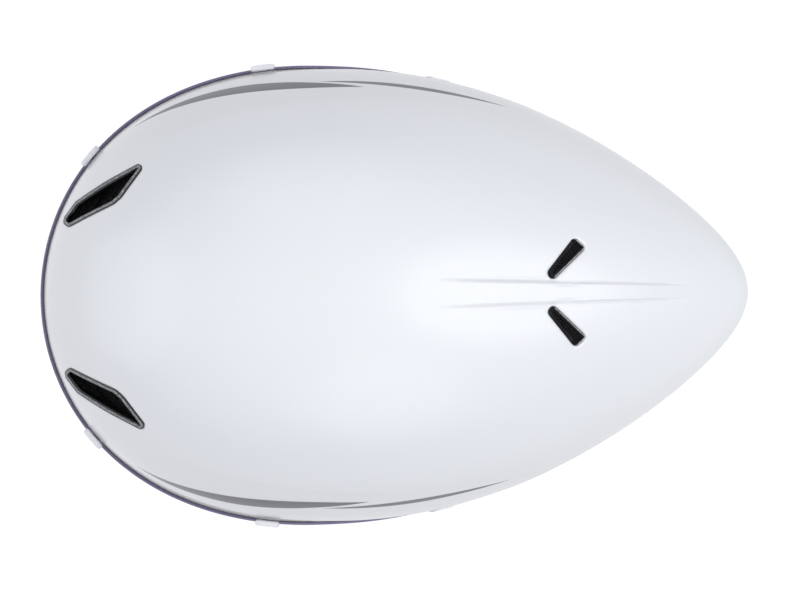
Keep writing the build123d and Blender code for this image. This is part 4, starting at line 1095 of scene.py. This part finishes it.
sealProfile = roundedProfile(seal["width"], seal["height"], seal["bend"], seal["out"], seal["up"])
runs = [sweep(path[first:last], outward[first:last], np.tile([0, 0, 1.0], (last - first, 1)), sealProfile)
        for first, last in zip(bounds[::2], bounds[1::2])]
finishPiece(facingOut(makeObject("visor_edge_seal", *joined(runs))), sealFinish, "visor", "seal_rubber", "visor_seal")

# Pods: half width, top and bottom down the flank, inner and outer face, and the shelf that clears the lens
podBlocks = {"front": [(0.0055, -0.0055, 0.0045, 0.0006, 0.0034, 0.00228)],
             "middle": [(0.0055, -0.0055, 0.0045, 0.0006, 0.0034, 0.00228)],
             "rear": [(0.0055, 0.0004, 0.0090, 0.00228, 0.0034), (0.0055, 0.0004, 0.0054, -0.0060, 0.0026)]}
podMesh = dict(columns=48, rows=25, corner=0.35)


def podBlock(frameOf, halfU, lowV, highV, lowW, highW, shelf=None):
    # A block with soft edges: u, v, w are the powers of cos and sin of two turns, scaled to the block.
    # Below the lens's edge its inner face steps out to the shelf, which clears the lens.
    columns, rows = podMesh["columns"], podMesh["rows"]
    around = np.linspace(0, 2 * math.pi, columns, endpoint=False)
    dip = np.linspace(-math.pi / 2, math.pi / 2, rows)[1:-1]
    acrossAll, roundAll, upAll = [bent(q, podMesh["corner"]) for q in
                                  (np.cos(dip)[:, None], np.stack([np.cos(around), np.sin(around)]), np.sin(dip))]
    u, v = [np.append(acrossAll * share, [0, 0]) for share in roundAll]
    w = np.append(np.repeat(upAll, columns), [-1, 1])
    down = (lowV + highV) / 2 + v * (highV - lowV) / 2
    base = np.full(len(down), lowW) if shelf is None else lowW + (shelf - lowW) * smoothStep(down, -0.0008, -0.0002)
    out = base + (highW - base) * (w + 1) / 2
    origin, across, downward, outward = frameOf
    points = origin + across * (u * halfU)[:, None] + downward * down[:, None] + outward * out[:, None]
    return points, capped(rows - 2, columns)


for key, sizes in podBlocks.items():
    blocks = [podBlock(podFrames[key], *size) for size in sizes]
    pods = makeObject("pod_pair_" + key, *joined([flipped(*block, side) for block in blocks for side in (1, -1)]))
    finishPiece(facingOut(pods), milky, "visor", "pod_white", "visor_pods_" + key)
print("pods done")

# Rear skirts and ear covers
skirt = dict(grow=0.00175, wall=0.0010, thin=0.0005, span=(0.038, 0.064, 0.074, 0.0995), root=0.0012,
             bond=(0.0016, 0.0040))
ear = dict(grow=-0.012, wall=0.0025, gap=0.0018, shift=-0.0008)
skirtLoop = outline([(0.038, 0.080), (0.093, 0.0765), (0.093, 0.0), (0.038, 0.0)], 0.004)
earLoop = outline([(-0.062, topZ), (-0.062, 0.086), (-0.045, 0.0), (0.0355, 0.0), (0.0355, topZ)],
                  [0, 0.012, 0.012, 0, 0])
earEdges = [aboveEdge(ear["gap"]), aboveEdge(ear["gap"], ear["shift"])]
lowAngles = vary((-0.72, 0.12, 60))
flankAngles = np.concatenate([lowAngles, vary((0.12, math.pi - 0.12, 5)), math.pi - lowAngles[::-1],
                              vary((math.pi + 0.72 + 0.014, 2 * math.pi - 0.72, 5))])
skirtStations = vary((1.6, 1.85, 5), (1.85, 2.45, 52), (2.45, 3.1, 5))
earStations = vary((0.1, 1.1, 6), (1.1, 2.0, 62), (2.0, 3.1, 6))


def skirtTaper(q):
    # The skirt thins to its front and rear ends: -thin (1 - hump(x))
    return -skirt["thin"] * (1 - hump(q[:, 0], *skirt["span"]))


def skirtRoot(q):
    # The skirt stands clear of the shell along its border and is bonded to it further in
    return skirt["root"] * smoothStep(within(skirtLoop)(q), *skirt["bond"])


for side, suffix in sides:
    onSide = lambda q, side=side: side * q[:, 1]
    made = skinPiece("rear_skirt_skin" + suffix, skirt["grow"], skirt["wall"],
                     [onSide, within(skirtLoop), within(edgeLoop)], skirtStations, flankAngles, skirtTaper, skirtRoot)
    finishPiece(made, shellFinish, "helmet", "shell_white", "rear_skirt" + suffix)
    made = skinPiece("ear_cover_skin" + suffix, ear["grow"], ear["wall"],
                     [onSide, within(earLoop), *map(without, earEdges)], earStations, flankAngles)
    finishPiece(made, blackPlastic, "helmet", "black_plastic", "ear_cover" + suffix)
print("skirts and ear covers done")

# Webbing
web = dict(width=0.0146, thick=0.0012, bend=0.00055, chinX=-0.012)
webProfile = roundedProfile(web["thick"], web["width"], web["bend"], -web["thick"] / 2, -web["width"] / 2)
alongX, alongZ = np.array([1.0, 0, 0]), np.array([0, 0, 1.0])


def ribbon(path, across):
    # Flat webbing: its width lies along across, its thickness along heading x across
    heading = unit(np.gradient(path, axis=0))
    wide = unit(across - heading * (heading * across).sum(1, keepdims=True))
    points, faces = sweep(path, unit(np.cross(heading, wide)), wide, webProfile)
    uv = np.stack([np.tile(webProfile[:, 1], len(path)), np.repeat(runAlong(path), len(webProfile))], -1)
    return points, faces, uv * 1000


def between(start, end, bow, count=60):
    # A strap's line from start to end with a slight bow: start (1 - t) + end t + bow 4 t (1 - t)
    t = np.linspace(0, 1, count)[:, None]
    return np.array(start) * (1 - t) + np.array(end) * t + np.array(bow) * 4 * t * (1 - t)


straps = {"strap_front": (between((-0.062, 0.086, 0.0926), (-0.012, 0.0718, 0.0282), (0, 0.0006, 0)), alongX),
          "strap_rear": (between((0.0283, 0.070, 0.024), (-0.0024, 0.0718, 0.017), (0, 0.0005, 0)), alongZ)}
for name, (path, across) in straps.items():
    points, faces, uv = ribbon(path, across)
    bothWays(name + "_web", points, faces, webFinish, "helmet", "webbing", name, uv)


def chinPath(endY, side, count=150):
    # The chin strap's line in the plane of the divider, with soft bends, from the divider down and in to endY
    corners = [(0.0718, 0.00585), (0.0718, 0.0026), (0.061, 0.0026), (0.046, 0.030), (0.036, 0.005), (endY, 0.005)]
    loop = outline([(0.0718, 0.02), *corners, (endY, 0.02)], [0, 0, 0.0025, 0.004, 0.005, 0.004, 0, 0], 0.0006)
    first, last = [int(np.argmin(np.linalg.norm(loop - np.array(end), axis=1))) for end in (corners[0], corners[-1])]
    y, z = evenly(loop[first:last + 1], count).T
    return np.stack([np.full(count, web["chinX"]), side * y, z], -1)


for side, suffix, endY in ((1, "_right", 0.01245), (-1, "_left", 0.01615)):
    points, faces, uv = ribbon(chinPath(endY, side), alongX)
    strap = facingOut(makeObject("chin_web" + suffix, points, faces, uv))
    if side > 0:
        finishPiece(strap, webFinish, None, "webbing", "chin_strap_right")
        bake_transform(strap)
    else:
        finishPiece(strap, webFinish, "helmet", "webbing", "chin_strap_left")
print("webbing done")

# CAD pieces that keep their shape
finishes = [
    (foam, "eps_liner"),
    (blackPlastic, "tail_underside_cover strap_anchors fit_arm_right fit_arm_left yoke_frame"),
    (satinPlastic, "strap_divider_right strap_divider_left divider_lever_right divider_lever_left buckle_socket"),
    (satinPlastic, "buckle_plug yoke_cover dial_spool"),
    (rubber, "strap_keeper dial_knob"),
    (magnetFinish, "shell_magnets visor_magnets"),
    (steel, "arm_pivot_pins divider_pins dial_axle"),
]
for finish, names in finishes:
    for name in names.split():
        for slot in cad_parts[name].material_slots:
            slot.link, slot.material = "DATA", finish

# Floor and world. Both are near white where the camera sees them, the floor in gloss too, and light the object less.
studio = dict(world=0.64, floorSize=6.0, floorGlow=0.90, floorTone=(0.20, 0.20, 0.20), sky=(0.96, 0.975, 1.0),
              horizon=(0.66, 0.69, 0.82))
white = (1.0, 1.0, 1.0)
edges = np.linspace(-studio["floorSize"], studio["floorSize"], 9)
flat = pairs(edges, edges)
floor = makeObject("floor", np.concatenate([flat, np.zeros((len(flat), 1))], -1), gridFaces(9, 9)[:, ::-1])
ground, tree, shader, place = material("paleFloor", rough=0.9, **{"Specular IOR Level": 0.0})
feed(tree, shader.inputs["Base Color"], studio["floorTone"])
feed(tree, shader.inputs["Emission Color"], white)
rays = node(tree, "LightPath").outputs
seen = mathNode(tree, "MAXIMUM", rays["Is Camera Ray"], rays["Is Glossy Ray"])
seen = mathNode(tree, "MAXIMUM", seen, rays["Is Transmission Ray"])
feed(tree, shader.inputs["Emission Strength"], mathNode(tree, "MULTIPLY", seen, studio["floorGlow"]))
clear = node(tree, "BsdfTransparent").outputs[0]  # the floor can't be seen from below
oneWay = node(tree, "MixShader", node(tree, "NewGeometry").outputs["Backfacing"], shader.outputs[0], clear)
feed(tree, tree.nodes["Material Output"].inputs["Surface"], oneWay.outputs[0])
floor.data.materials.append(ground)

world = bpy.data.worlds.new("studio")
bpy.context.scene.world = world
world.use_nodes = True
tree = world.node_tree
sky = tree.nodes["Background"]
rays = node(tree, "LightPath").outputs
seen = mathNode(tree, "MAXIMUM", rays["Is Camera Ray"], rays["Is Transmission Ray"])
feed(tree, sky.inputs["Strength"], mathNode(tree, "MULTIPLY_ADD", seen, 1.0 - studio["world"], studio["world"]))
up = node(tree, "SeparateXYZ", node(tree, "TexCoord").outputs["Generated"]).outputs[2]
air = mixColour(tree, ramp(tree, up, 0.0, 0.55), studio["horizon"], studio["sky"])
feed(tree, sky.inputs["Color"], mixColour(tree, seen, air, white))
bpy.context.scene.view_settings.view_transform = "Standard"

print("scene done")
